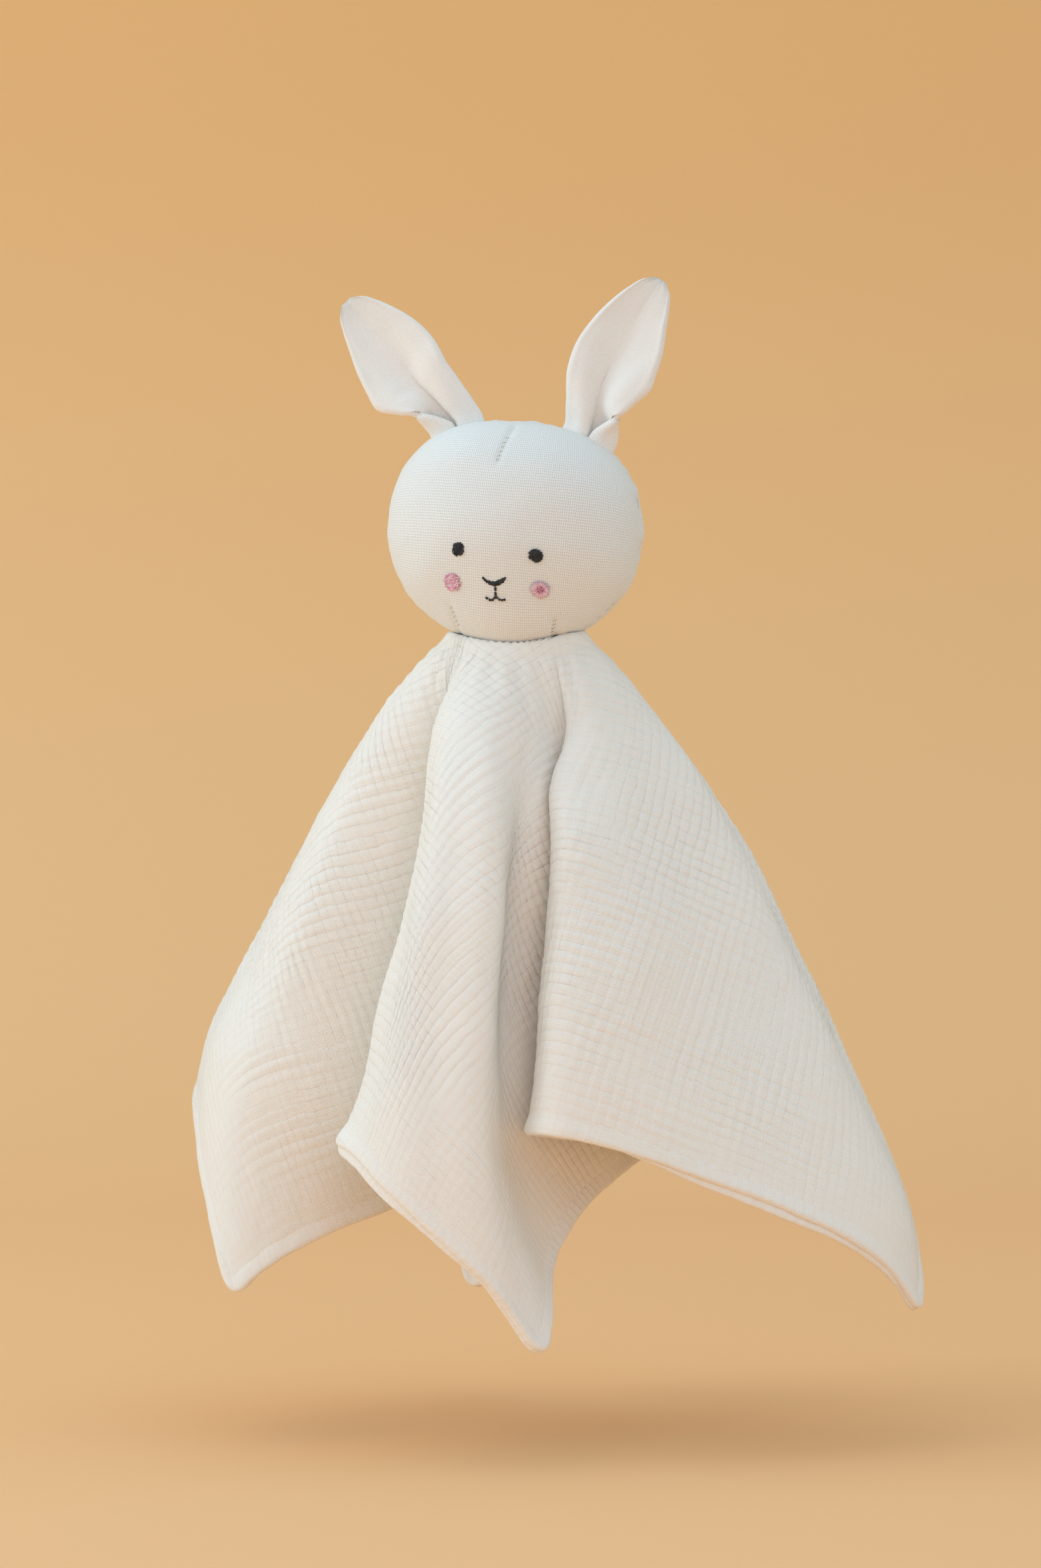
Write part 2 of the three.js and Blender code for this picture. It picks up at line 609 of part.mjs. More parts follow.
const sheet = stations.map((flatDeg) => ringReaches(flatDeg).map((reach) => ({
  point: clothPoint(flatDeg, reach),
  normal: reach ? clothNormal(flatDeg, reach) : vec(0, 0, 1),
})));

function clothLayerMesh(name, offsets, material) {
  const pointAt = (column, row, side) => {
    const { point, normal } = sheet[column][row];
    return point.clone().addScaledVector(normal, offsets[side]);
  };
  return namedMesh(name, roundLayer(pointAt, stations.length, sheet[0].length - 1), material);
}

// The turned edge runs beside the hem of both layers, square to the cloth's edge on each side of every vertex
function edgeSeam() {
  const hem = sheet.map((column) => column[column.length - 1]);
  const outward = hem.map(({ point, normal }, i) => {
    const next = hem[(i + 1) % hem.length];
    const along = next.point.clone().sub(point);
    return along.cross(normal.clone().add(next.normal)).normalize();
  });
  const beyond = clearance + edgeRoll / 2;
  const centres = hem.map(({ point }, i) => {
    const before = outward[(i + hem.length - 1) % hem.length];
    const mitre = before.clone().add(outward[i]).divideScalar(1 + before.dot(outward[i]));
    return point.clone().addScaledVector(mitre, beyond);
  });
  const upwards = hem.map(({ normal }) => normal);
  return namedMesh('blanket_edge_seam', cordLoop(centres, upwards, edgeRoll, edgeRollSides), muslin);
}

function neckRing(name, radius, steps) {
  const centreReach = neckBallRadius + clearance + neckThread / 2;
  const ring = new THREE.TorusGeometry(radius, neckThread / 2, neckRingSides, steps);
  ring.translate(0, 0, -Math.sqrt(centreReach ** 2 - radius ** 2));
  return namedMesh(name, ring, whiteThread);
}

function buildHead() {
  const head = new THREE.Group();
  const eyeSize = { width: eyeWidth, height: eyeHeight };
  const cheekSize = { width: cheekWidth, height: cheekHeight };
  head.add(headPanel('head_front', true), headPanel('head_back', false), headFilling());
  head.add(sideSeamThread(), dartStitches('forehead_dart', foreheadDartTop, foreheadDartEnd, 1));
  for (const [prefix, hand] of [['left', -1], ['right', 1]]) {
    const eye = { across: hand * eyeAcross, up: -eyeDrop };
    const cheek = { across: hand * cheekAcross, up: -cheekDrop };
    head.add(stitchedPatch(`${prefix}_eye`, eye, eyeSize, roundOutline, blackThread));
    head.add(stitchedPatch(`${prefix}_cheek`, cheek, cheekSize, roundOutline, pinkThread));
    head.add(dartStitches(`${prefix}_chin_dart`, chinDartTop, chinDartEnd, hand));
  }
  const nose = { across: 0, up: -noseDrop };
  head.add(stitchedPatch('nose', nose, { width: noseWidth, height: noseHeight }, noseOutline, blackThread));
  head.add(noseStem(), mouth(), ear('left', leftEar), ear('right', rightEar));
  head.rotation.y = rad(headLeanDeg);
  return head;
}

function buildBlanket() {
  const blanket = new THREE.Group();
  const near = clothGap / 2;
  blanket.add(
    clothLayerMesh('blanket_outer', [near, near + clothLayer], muslin),
    clothLayerMesh('blanket_lining', [-near, -near - clothLayer], muslin),
    edgeSeam(),
  );
  blanket.rotation.z = rad(blanketTurnDeg);
  return blanket;
}

const lovey = new THREE.Group();
lovey.add(buildHead(), buildBlanket());
lovey.add(neckRing('neck_tack_stitches', tackRingRadius, tackRingSteps));
lovey.add(neckRing('neck_seam_stitches', neckSeamRingRadius, neckSeamRingSteps));
lovey.position.z = neckPivotAboveHeadCentre - crownToHeadCentre;

export default lovey;
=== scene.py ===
"""Comfort blanket lovey: a stuffed bunny head in ribbed cotton on the middle of a hanging square of crinkled muslin.

Metres, +Z up, the face looks along -Y. The sizes and the way the cloth hangs are those of the part's own source.
"""
import bpy
import math
import numpy as np
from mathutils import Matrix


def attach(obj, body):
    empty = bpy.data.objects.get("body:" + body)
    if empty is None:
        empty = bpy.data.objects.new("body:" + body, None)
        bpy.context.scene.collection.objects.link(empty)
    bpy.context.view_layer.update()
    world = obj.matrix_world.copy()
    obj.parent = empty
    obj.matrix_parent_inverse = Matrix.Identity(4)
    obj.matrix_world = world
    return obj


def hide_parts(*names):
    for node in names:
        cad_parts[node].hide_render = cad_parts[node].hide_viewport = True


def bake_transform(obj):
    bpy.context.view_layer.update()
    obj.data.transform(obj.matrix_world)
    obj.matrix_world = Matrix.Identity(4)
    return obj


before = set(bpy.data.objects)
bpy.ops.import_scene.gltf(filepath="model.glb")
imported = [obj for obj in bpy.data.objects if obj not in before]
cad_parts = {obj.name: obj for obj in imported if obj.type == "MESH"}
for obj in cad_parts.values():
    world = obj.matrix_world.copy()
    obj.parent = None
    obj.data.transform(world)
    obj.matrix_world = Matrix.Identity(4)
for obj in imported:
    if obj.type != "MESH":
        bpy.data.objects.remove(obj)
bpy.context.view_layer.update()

mm = 0.001

# Head
head_width = 94 * mm
head_height = 83 * mm
head_depth = 79 * mm
head_girth_power = 2.2
head_top_power = 2.4
head_chin_power = 2
head_lean_deg = 5.3
crown_to_head_centre = 41.4 * mm
neck_pivot_above_head_centre = 25.5 * mm
neck_ball_radius = 66 * mm
clearance = 0.3 * mm
neck_thread = 0.6 * mm
cup_ease = 0.3 * mm

# Face, measured from the head's centre: across and up
eye_across = 14.2 * mm
eye_drop = 8.6 * mm
cheek_across = 16.2 * mm
cheek_drop = 20.6 * mm
nose_drop = 18.6 * mm
mouth_drop = 24.4 * mm
forehead_dart = ((-0.9 * mm, 38.2 * mm), (-3.7 * mm, 23.5 * mm))
chin_darts = (((-17.8 * mm, -28 * mm), (-14.6 * mm, -38.6 * mm)), ((21.9 * mm, -29.5 * mm), (20.4 * mm, -40 * mm)))

# Ears
ear_length = 62 * mm
ear_base_roll = 3 * mm
ear_seats = {
    "left": {"hand": -1, "seat_deg": 38, "slope_deg": 28, "heading_deg": (2, 14, 18, 20, 22),
             "inward": (4.2, 0, 0, 0), "tip_share": 0.975},
    "right": {"hand": 1, "seat_deg": 34, "slope_deg": 20, "heading_deg": (-8, -6, -2, 2, 6),
              "inward": (1.6, 3.2, 1, 0), "tip_share": 1},
}

# Blanket
blanket_side = 424 * mm
blanket_corner = 9 * mm
cloth_layer = 0.9 * mm
cloth_gap = 0.5 * mm
blanket_turn_deg = 8.5
neck_offset = -1.5 * mm
cup_reach = 24.5 * mm
neck_reach = 27 * mm
neck_radius = 27.3 * mm
bend_reach = 33 * mm
fold_reach = 212 * mm
neck_flare_share = 1.35
neck_sway_share = 0.25
tip_flare_share = 1.16
steepest_share = 0.3
hang_steps = 48
crinkle_share = 0.006
chin_sag = 4 * mm
neck_touch = 0.2 * mm
touch_reach = (26.5 * mm, 21 * mm)
neck_end = 62 * mm
neck_folds_from = 0.2
neck_ease_from = (25 * mm, 32 * mm)
neck_ease_to = 90 * mm
neck_ease_rounds = 30
shoulder_rise = 2.4 * mm
crinkle_shares = ((168, 21, 0.072), (262, 30, 0.024), (90, 40, 0.034), (0, 15, -0.026))

# Where the folds lean away from those lines: an angle on the flat square, over how many degrees, a reach and over how
# far in millimetres, then how far right and back in millimetres
drape_leans = (
    (185, 45, 52, 28, -2.4, 0),
    (168, 28, 148, 36, 5, 0),
    (168, 28, 185, 26, 4, 0),
    (350, 45, 60, 27, 1.4, 0),
    (350, 45, 95, 25, 1.5, 0),
    (355, 25, 191, 30, -1.4, 0),
    (2, 22, 262, 30, 6.5, 0),
    (240, 14, 140, 60, 12.5, 0),
    (240, 13, 95, 30, 2.5, 0),
    (240, 12, 200, 22, 4.5, 0),
    (268, 7, 152, 62, 7, 0),
    (290, 12, 125, 58, 0, -16),
    (284, 10, 195, 40, 0, -14),
    (305, 9, 62, 20, -2, 1),
    (322, 12, 110, 35, 0, -6),
    (320, 12, 86, 22, -6.5, 0),
    (320, 12, 118, 24, -1.5, 0),
    (320, 10, 190, 26, 2.5, 0),
)

# Each line of the hanging cloth: its angle on the flat square and at the neck, then how far right and back it hangs at
# its fold and, for some, at its tip, as shares of the side
hang_line_shares = (
    (0, -4, (0.276, -0.055), (0.335, -0.073)),
    (5, 2, (0.281, -0.036), (0.339, -0.052)),
    (10, 8, (0.283, -0.014), (0.33, -0.022)),
    (20, 20, (0.25, 0.024)),
    (30, 28, (0.189, 0.028)),
    (39, 36, (0.146, 0.052)),
    (48, 46, (0.16, 0.123)),
    (57, 56, (0.146, 0.203)),
    (65, 66, (0.104, 0.222)),
    (73, 73, (0.066, 0.17)),
    (81, 82, (0.024, 0.123), (0.024, 0.156)),
    (90, 93, (-0.028, 0.184), (-0.045, 0.222)),
    (98, 102, (-0.066, 0.222), (-0.08, 0.255)),
    (106, 110, (-0.104, 0.193)),
    (114, 116, (-0.099, 0.132)),
    (122, 122, (-0.127, 0.113)),
    (131, 130, (-0.17, 0.156)),
    (140, 140, (-0.217, 0.146)),
    (149, 150, (-0.212, 0.09)),
    (157, 160, (-0.268, 0.047), (-0.288, 0.05)),
    (168, 174, (-0.269, 0.005), (-0.284, -0.005)),
    (180, 188, (-0.234, -0.061), (-0.243, -0.071)),
    (191, 198, (-0.156, -0.061), (-0.175, -0.08)),
    (201, 205, (-0.08, -0.019)),
    (209, 210, (-0.038, 0.009)),
    (217, 213, (-0.047, -0.028)),
    (229, 216, (-0.104, -0.08)),
    (240, 220, (-0.156, -0.142)),
    (250, 232, (-0.127, -0.198)),
    (260, 249, (-0.078, -0.216), (-0.06, -0.245)),
    (266, 260, (-0.04, -0.212), (-0.008, -0.238)),
    (270, 267, (-0.03, -0.186), (0.019, -0.226)),
    (278, 277, (-0.008, -0.134), (0.052, -0.168)),
    (286, 284, (0.03, -0.083), (0.094, -0.1)),
    (294, 290, (0.084, -0.038), (0.12, -0.047)),
    (300, 295, (0.127, -0.019)),
    (306, 300, (0.13, -0.052)),
    (312, 305, (0.075, -0.104)),
    (319, 310, (0.01, -0.156)),
    (325, 316, (0.016, -0.203)),
    (335, 326, (0.094, -0.193)),
    (347, 342, (0.196, -0.132), (0.245, -0.165)),
)
# The lines on the left that flare less at the neck
left_flare_shares = {140: 1.15, 149: 1.05, 157: 1.02, 168: 1.02, 180: 1.1, 191: 1.2}

full_turn = 2 * math.pi


def linear(red, green, blue):
    """A colour as it looks on screen, from 0 to 255, as the linear values that a shader takes."""
    shares = np.array((red, green, blue)) / 255
    return (*np.where(shares <= 0.04045, shares / 12.92, ((shares + 0.055) / 1.055) ** 2.4), 1)


# Camera, at the photograph's angle: level with the middle of the blanket and a little to the right
camera_place = (0.2363, -1.5825, -0.1334)
camera_lens = 99.6
camera = bpy.data.objects.new("camera", bpy.data.cameras.new("camera"))
camera.data.sensor_width = 36
camera.data.lens = camera_lens
camera.data.clip_start = 0.1
camera.data.clip_end = 20
camera.location = camera_place
camera.rotation_euler = (math.pi / 2, 0, math.radians(blanket_turn_deg))
bpy.context.scene.collection.objects.link(camera)
bpy.context.scene.camera = camera


# Shared shapes

def spline(stations, values, at):
    """A smooth curve through rows of values at uneven stations, by Barry and Goldman's form of Catmull-Rom."""
    stations, values, at = (np.asarray(x, float) for x in (stations, values, at))
    last = len(stations) - 2
    span = np.clip(np.searchsorted(stations[1:], at), 0, last)
    width = stations[span + 1] - stations[span]
    t, v = [], []
    for k in (-1, 0, 1, 2):
        held = np.clip(span + k, 0, last + 1)
        t.append((stations[held] + (span + k - held) * width)[:, None])
        v.append(values[held])
    x = at[:, None]

    def mix(a, b, ta, tb):
        return (a * (tb - x) + b * (x - ta)) / (tb - ta)

    a = [mix(v[k], v[k + 1], t[k], t[k + 1]) for k in range(3)]
    b = [mix(a[k], a[k + 1], t[k], t[k + 2]) for k in range(2)]
    return mix(b[0], b[1], t[1], t[2])


def soft_noise(x, y, seed):
    """Smooth hills and hollows from -1 to 1, about one to a unit."""
    lattice = np.random.default_rng(seed).uniform(-1, 1, (128, 128))
    column, row = np.floor(x).astype(int), np.floor(y).astype(int)
    u, v = x - column, y - row
    u, v = (s * s * s * (s * (s * 6 - 15) + 10) for s in (u, v))

    def at(i, j):
        return lattice[(column + i) % 128, (row + j) % 128]

    near = at(0, 0) * (1 - u) + at(1, 0) * u
    far = at(0, 1) * (1 - u) + at(1, 1) * u
    return near * (1 - v) + far * v


def smooth_step(low, high, x):
    share = np.clip((x - low) / (high - low), 0, 1)
    return share * share * (3 - 2 * share)


def turned(points, degrees, axis):
    """Points turned about the Y or Z axis."""
    c, s = math.cos(math.radians(degrees)), math.sin(math.radians(degrees))
    turn = {"y": ((c, 0, s), (0, 1, 0), (-s, 0, c)), "z": ((c, -s, 0), (s, c, 0), (0, 0, 1))}[axis]
    return points @ np.array(turn).T


def unit(vectors):
    return vectors / np.maximum(np.linalg.norm(vectors, axis=-1, keepdims=True), 1e-12)


def degrees_away(degrees, at):
    """How far angles lie from one of them, from -180 to 180."""
    return np.mod(degrees - at + 180, 360) - 180


def hill(away, width):
    return np.exp(-(away / width) ** 2)


def heading(turn, wide=1, high=1):
    return np.array((math.cos(turn) * wide, math.sin(turn) * high))


def read_off(at, stations, rows, period=None):
    """A table's rows between its stations, on straight lines."""
    return np.stack([np.interp(at, stations, column, period=period) for column in rows.T], -1)


def piece(name, points, faces, uv=None):
    """A new mesh object from points and faces, with a UV place for each point."""
    mesh = bpy.data.meshes.new(name)
    mesh.from_pydata(np.asarray(points).tolist(), [], [tuple(f) for f in faces])
    mesh.validate()
    if uv is not None:
        layer = mesh.uv_layers.new(name="cloth")
        corner = np.zeros(len(mesh.loops), int)
        mesh.loops.foreach_get("vertex_index", corner)
        layer.data.foreach_set("uv", np.asarray(uv, np.float32)[corner].ravel())
    mesh.polygons.foreach_set("use_smooth", np.full(len(mesh.polygons), True))
    made = bpy.data.objects.new(name, mesh)
    bpy.context.scene.collection.objects.link(made)
    return made


def grid_faces(index, flip=False):
    """Quads between the neighbours of a table of point numbers."""
    a, b, c, d = index[:-1, :-1], index[1:, :-1], index[1:, 1:], index[:-1, 1:]
    quads = np.stack([a, d, c, b] if flip else [a, b, c, d], -1)
    return quads.reshape(-1, 4).tolist()


def around(table):
    """The numbers on the edge of a table, once round."""
    return np.concatenate([table[:-1, 0], table[-1, :-1], table[:0:-1, -1], table[0, :0:-1]])


# The head's surface

head_centre = np.array((0, 0, -neck_pivot_above_head_centre))
neck_pivot = np.array((0, 0, neck_pivot_above_head_centre - crown_to_head_centre))


def head_reach(direction):
    x, y, z = (np.abs(direction[..., i]) for i in range(3))
    power = np.where(direction[..., 2] > 0, head_top_power, head_chin_power)
    girth = ((x / (head_width / 2)) ** head_girth_power + (y / (head_depth / 2)) ** head_girth_power) ** (
        1 / head_girth_power)
    stuffed = (girth ** power + (z / (head_height / 2)) ** power) ** (-1 / power)
    along = direction @ head_centre
    ball = -along + np.sqrt(along ** 2 + neck_ball_radius ** 2 - head_centre @ head_centre)
    return np.minimum(stuffed, ball)


# The sag begins and ends between these distances from the neck's middle
sag_from = (3 * mm, 14 * mm)
sag_to = (22 * mm, 39 * mm)


def chin_rise(direction):
    """The stuffing sags in front of the neck seam and behind it."""
    points = turned(head_centre + direction * head_reach(direction)[..., None], head_lean_deg, "y")
    out = np.hypot(points[..., 0] - neck_offset, points[..., 1])
    front_share = points[..., 1] ** 2 / np.maximum(out ** 2, mm * mm)
    sag = chin_sag * front_share * smooth_step(*sag_from, out) * (1 - smooth_step(*sag_to, out))
    return np.where(direction[..., 2] < 0, sag, 0)


def head_point(direction, rise=0):
    return head_centre + direction * (head_reach(direction) + chin_rise(direction) + rise)[..., None]


def head_from_pivot(direction):
    """How far the head's underside lies from the neck's pivot."""
    near, far = np.full(len(direction), 50 * mm), np.full(len(direction), 85 * mm)
    for _ in range(30):
        middle = (near + far) / 2
        from_centre = direction * middle[:, None] - head_centre
        toward = unit(from_centre)
        inside = np.linalg.norm(from_centre, axis=1) < head_reach(toward) + chin_rise(toward)
        near, far = np.where(inside, middle, near), np.where(inside, far, middle)
    return near


def face_direction(across, up):
    """The direction from the head's centre to the front panel's point at a place across and up."""
    across, up = np.asarray(across, float), np.asarray(up, float)
    direction = unit(np.stack([across, np.full_like(across, -head_depth / 2), up], -1))
    for _ in range(12):
        point = direction * (head_reach(direction) + chin_rise(direction))[..., None]
        direction[..., 0] += (across - point[..., 0]) / head_width
        direction[..., 2] += (up - point[..., 2]) / head_width
        direction = unit(direction)
    return direction


def on_face(across, up, rise):
    """Points over the front panel, by their places across and up and their height over the cloth."""
    return head_point(face_direction(across, up), rise)


def head_to_part(points):
    return turned(points, head_lean_deg, "y") + neck_pivot


# Materials

weave_wander = 0.5
weave_drift = 260
weave_grain = 1900
grain_share = 1.6
pleat_drift = 20
pleat_sway = 1.1
pleat_shake = 130
pleat_shake_share = 0.45
pleat_roundness = 0.75
patch_edges = (0.38, 0.62)
faintest_pleat = 0.4
pleats_fade = (0.17, 0.27)
pleats_left_at_edge = 0.35
# For each set of pleats in the muslin: its pitch, its share of the whole height and how close its patches lie
muslin_pleats = ((2 * mm, 0.25, 31), (4.1 * mm, 1, 22))


def new_material(name):
    made = bpy.data.materials.new(name)
    made.use_nodes = True
    return made, made.node_tree, made.node_tree.nodes["Principled BSDF"]


def new_node(tree, kind, sockets, **settings):
    """A node of a kind, with its settings, and a number, a colour or a link for each socket named."""
    made = tree.nodes.new("ShaderNode" + kind)
    for setting, value in settings.items():
        setattr(made, setting, value)
    for socket, value in sockets.items():
        if isinstance(value, bpy.types.NodeSocket):
            tree.links.new(value, made.inputs[socket])
        else:
            made.inputs[socket].default_value = value
    return made


def worked(tree, operation, *values):
    """What a Math node makes of numbers and other nodes' results."""
    return new_node(tree, "Math", dict(enumerate(values)), operation=operation).outputs[0]


def between(tree, value, low, high, to_low=0, to_high=1):
    """A value moved from one range to another, and held at its ends."""
    return new_node(tree, "MapRange", {"Value": value, "From Min": low, "From Max": high, "To Min": to_low,
                                       "To Max": to_high}).outputs["Result"]


def two_tones(tree, share, first, second):
    return new_node(tree, "Mix", {"Factor": share, "A": first, "B": second}, data_type="RGBA").outputs["Result"]


def raised(tree, height, distance, under=None):
    """A bumped surface, over another one where there is one."""
    sockets = {"Height": height, "Distance": distance} | ({"Normal": under} if under else {})
    return new_node(tree, "Bump", sockets).outputs["Normal"]


def height_group(name, values):
    """A group that makes a height of a place on the cloth, with the values that each cloth sets."""
    tree = bpy.data.node_groups.new(name, "ShaderNodeTree")
    tree.interface.new_socket("Place", in_out="INPUT", socket_type="NodeSocketVector")
    for value in values:
        tree.interface.new_socket(value, in_out="INPUT", socket_type="NodeSocketFloat")
    tree.interface.new_socket("Height", in_out="OUTPUT", socket_type="NodeSocketFloat")
    return tree, tree.nodes.new("NodeGroupInput").outputs, tree.nodes.new("NodeGroupOutput").inputs


def weave_group():
    """Two crossing sets of yarns."""
    tree, given, put = height_group("weave", ("Rib pitch", "Yarn pitch", "Rib share"))
    drift = new_node(tree, "TexNoise", {"Vector": given["Place"], "Scale": weave_drift, "Detail": 2})
    axes = new_node(tree, "SeparateXYZ", {0: given["Place"]})
    wander = worked(tree, "MULTIPLY", drift.outputs["Fac"], weave_wander)
    waves = []
    for axis, pitch in (("Y", "Rib pitch"), ("X", "Yarn pitch")):
        turns = worked(tree, "ADD", worked(tree, "DIVIDE", axes.outputs[axis], given[pitch]), wander)
        waves.append(worked(tree, "SINE", worked(tree, "MULTIPLY", turns, full_turn)))
    rib = worked(tree, "MULTIPLY", waves[0], given["Rib share"])
    yarn = worked(tree, "MULTIPLY", waves[1], worked(tree, "SUBTRACT", 1, given["Rib share"]))
    grain = new_node(tree, "TexNoise", {"Vector": given["Place"], "Scale": weave_grain, "Detail": 3})
    speck = worked(tree, "MULTIPLY", worked(tree, "SUBTRACT", grain.outputs["Fac"], 0.5), grain_share)
    tree.links.new(worked(tree, "ADD", worked(tree, "ADD", rib, yarn), speck), put["Height"])
    return tree


def waffle_group():
    """Puffed cells between two crossing sets of uneven pleats, strong in some patches and faint in others."""
    tree, given, put = height_group("waffle", ("Pitch", "Patches"))

    def noise(scale, seed):
        sockets = {"Vector": given["Place"], "W": seed, "Detail": 1, "Scale": scale}
        return new_node(tree, "TexNoise", sockets, noise_dimensions="4D").outputs["Fac"]

    axes = new_node(tree, "SeparateXYZ", {0: given["Place"]})
    sets = []
    for axis, seed in (("X", 2.3), ("Y", 7.9)):
        turns = worked(tree, "DIVIDE", axes.outputs[axis], given["Pitch"])
        sway = worked(tree, "MULTIPLY", noise(pleat_drift, seed), pleat_sway)
        shake = worked(tree, "MULTIPLY", noise(pleat_shake, seed + 1), pleat_shake_share)
        turns = worked(tree, "ADD", turns, worked(tree, "ADD", sway, shake))
        wave = worked(tree, "SINE", worked(tree, "MULTIPLY", turns, math.pi))
        puff = worked(tree, "POWER", worked(tree, "ABSOLUTE", wave), pleat_roundness)
        patch = between(tree, noise(given["Patches"], seed + 2), *patch_edges, faintest_pleat)
        sets.append(worked(tree, "MULTIPLY", puff, patch))
    from_middle = new_node(tree, "VectorMath", {0: given["Place"]}, operation="LENGTH").outputs["Value"]
    fade = between(tree, from_middle, *pleats_fade, 1, pleats_left_at_edge)
    tree.links.new(worked(tree, "MULTIPLY", worked(tree, "ADD", *sets), fade), put["Height"])
    return tree


weave = weave_group()
waffle = waffle_group()


def woven_cloth(name, colour, hollow_shade_colour, rib_pitch, yarn_pitch, rib_share, height, pleat_height=0):
    """Cotton: two tones of one colour over its raised yarns, the darker one in the hollows between them as painted
    shade, and for muslin puffed pleats under them.
    """
    made, tree, shader = new_material(name)
    place = new_node(tree, "TexCoord", {}).outputs["UV"]
    values = {"Place": place, "Rib pitch": rib_pitch, "Yarn pitch": yarn_pitch, "Rib share": rib_share}
    yarns = new_node(tree, "Group", values, node_tree=weave).outputs["Height"]
    # The colour darkens where the yarns sink: painted shade in the weave's hollows, which also follows the grain's
    # random specks
    tone = between(tree, yarns, -1, 0.7)
    tree.links.new(two_tones(tree, tone, hollow_shade_colour, colour), shader.inputs["Base Color"])
    surface = None
    if pleat_height:
        for pitch, share, patches in reversed(muslin_pleats):
            values = {"Place": place, "Pitch": pitch, "Patches": patches}
            pleats = new_node(tree, "Group", values, node_tree=waffle).outputs["Height"]
            surface = raised(tree, pleats, pleat_height * share, surface)
    tree.links.new(raised(tree, yarns, height, surface), shader.inputs["Normal"])
    shader.inputs["Roughness"].default_value = 0.92
    shader.inputs["Specular IOR Level"].default_value = 0.2
    shader.inputs["Sheen Weight"].default_value = 0.25
    shader.inputs["Sheen Roughness"].default_value = 0.6
    return made


thread_relief = 0.04 * mm
twist_pitch = 0.5 * mm
twist_lean = 2


def thread_finish(name, colour, groove_shade_colour, pale_colour, pale_share, roughness):
    """Embroidery thread: a twist along each stitch, from its own UV, darker in the twist's grooves as painted shade."""
    made, tree, shader = new_material(name)
    axes = new_node(tree, "SeparateXYZ", {0: new_node(tree, "TexCoord", {}).outputs["UV"]})
    lean = worked(tree, "MULTIPLY", axes.outputs["Y"], twist_lean)
    turns = worked(tree, "ADD", worked(tree, "DIVIDE", axes.outputs["X"], twist_pitch), lean)
    twist = worked(tree, "SINE", worked(tree, "MULTIPLY", turns, full_turn))
    strand = new_node(tree, "Attribute", {}, attribute_name="thread_tone")
    pale = worked(tree, "MULTIPLY", strand.outputs["Fac"], pale_share)
    # The second colour is painted shade in the twist's grooves; the strand tone varies stitch by stitch
    tones = two_tones(tree, between(tree, twist, -1, 1), groove_shade_colour, colour)
    tree.links.new(two_tones(tree, pale, tones, pale_colour), shader.inputs["Base Color"])
    tree.links.new(raised(tree, twist, thread_relief), shader.inputs["Normal"])
    shader.inputs["Roughness"].default_value = roughness
    return made


# The second colour of each cloth is its painted shade in the hollows between the yarns
head_cotton = woven_cloth("ribbed_head_cotton", linear(249, 250, 247), linear(211, 212, 209),
                          rib_pitch=1.2 * mm, yarn_pitch=0.85 * mm, rib_share=0.38, height=0.052 * mm)
ear_cotton = woven_cloth("ear_cotton", linear(250, 247, 242), linear(236, 231, 224),
                         rib_pitch=0.62 * mm, yarn_pitch=0.5 * mm, rib_share=0.5, height=0.05 * mm)
muslin = woven_cloth("crinkled_muslin", linear(253, 249, 242), linear(245, 239, 228), rib_pitch=0.55 * mm,
                     yarn_pitch=0.5 * mm, rib_share=0.5, height=0.05 * mm, pleat_height=0.34 * mm)
# The second colour of each thread is its painted shade in the twist's grooves
black_thread = thread_finish("black_thread", linear(36, 37, 40), linear(14, 14, 16), linear(84, 86, 94),
                             pale_share=0.45, roughness=0.5)
pink_thread = thread_finish("pink_thread", linear(243, 160, 194), linear(228, 126, 168), linear(255, 240, 247),
                            pale_share=0.85, roughness=0.5)
white_thread = thread_finish("white_thread", linear(226, 220, 208), linear(196, 188, 174), linear(160, 150, 136),
                             pale_share=0.6, roughness=0.6)


def dressed(obj, finish, body=None, replaces=()):
    """Gives a piece its finish, the body it rides and the nodes it stands for."""
    obj.data.materials.clear()
    obj.data.materials.append(finish)
    if body:
        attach(obj, body)
    if replaces:
        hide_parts(*replaces)
    return obj


# The stuffed head

head_columns = 360
head_rows = 180
# How deep or high, and over how far from the seam or the dart
seam_groove = (1.0 * mm, 0.9 * mm)
seam_puckers = (1.1 * mm, 6 * mm)
head_lumps = (0.5 * mm, 9 * mm)
forehead_hollow = (0.75 * mm, 1.2 * mm)
chin_hollow = (0.6 * mm, 1.1 * mm)
seam_pucker_count = 3.2
# The lumps fade out between these heights, toward the neck seam
smooth_below = (-31 * mm, -36 * mm)
row_crowding = 1.25


def dart_hollow(points, start, end, depth, width):
    """How deep a dart draws the front panel in at each point."""
    start, end = np.array(start), np.array(end)
    places = points[..., (0, 2)] - head_centre[[0, 2]]
    along = end - start
    share = np.clip((places - start) @ along / (along @ along), 0, 1)
    away = np.linalg.norm(places - (start + share[..., None] * along), axis=-1)
    fade = np.cos(np.clip(share, 0, 0.99) * math.pi / 2) ** 0.3
    return np.where(points[..., 1] < 0, depth * hill(away, width) * fade, 0)


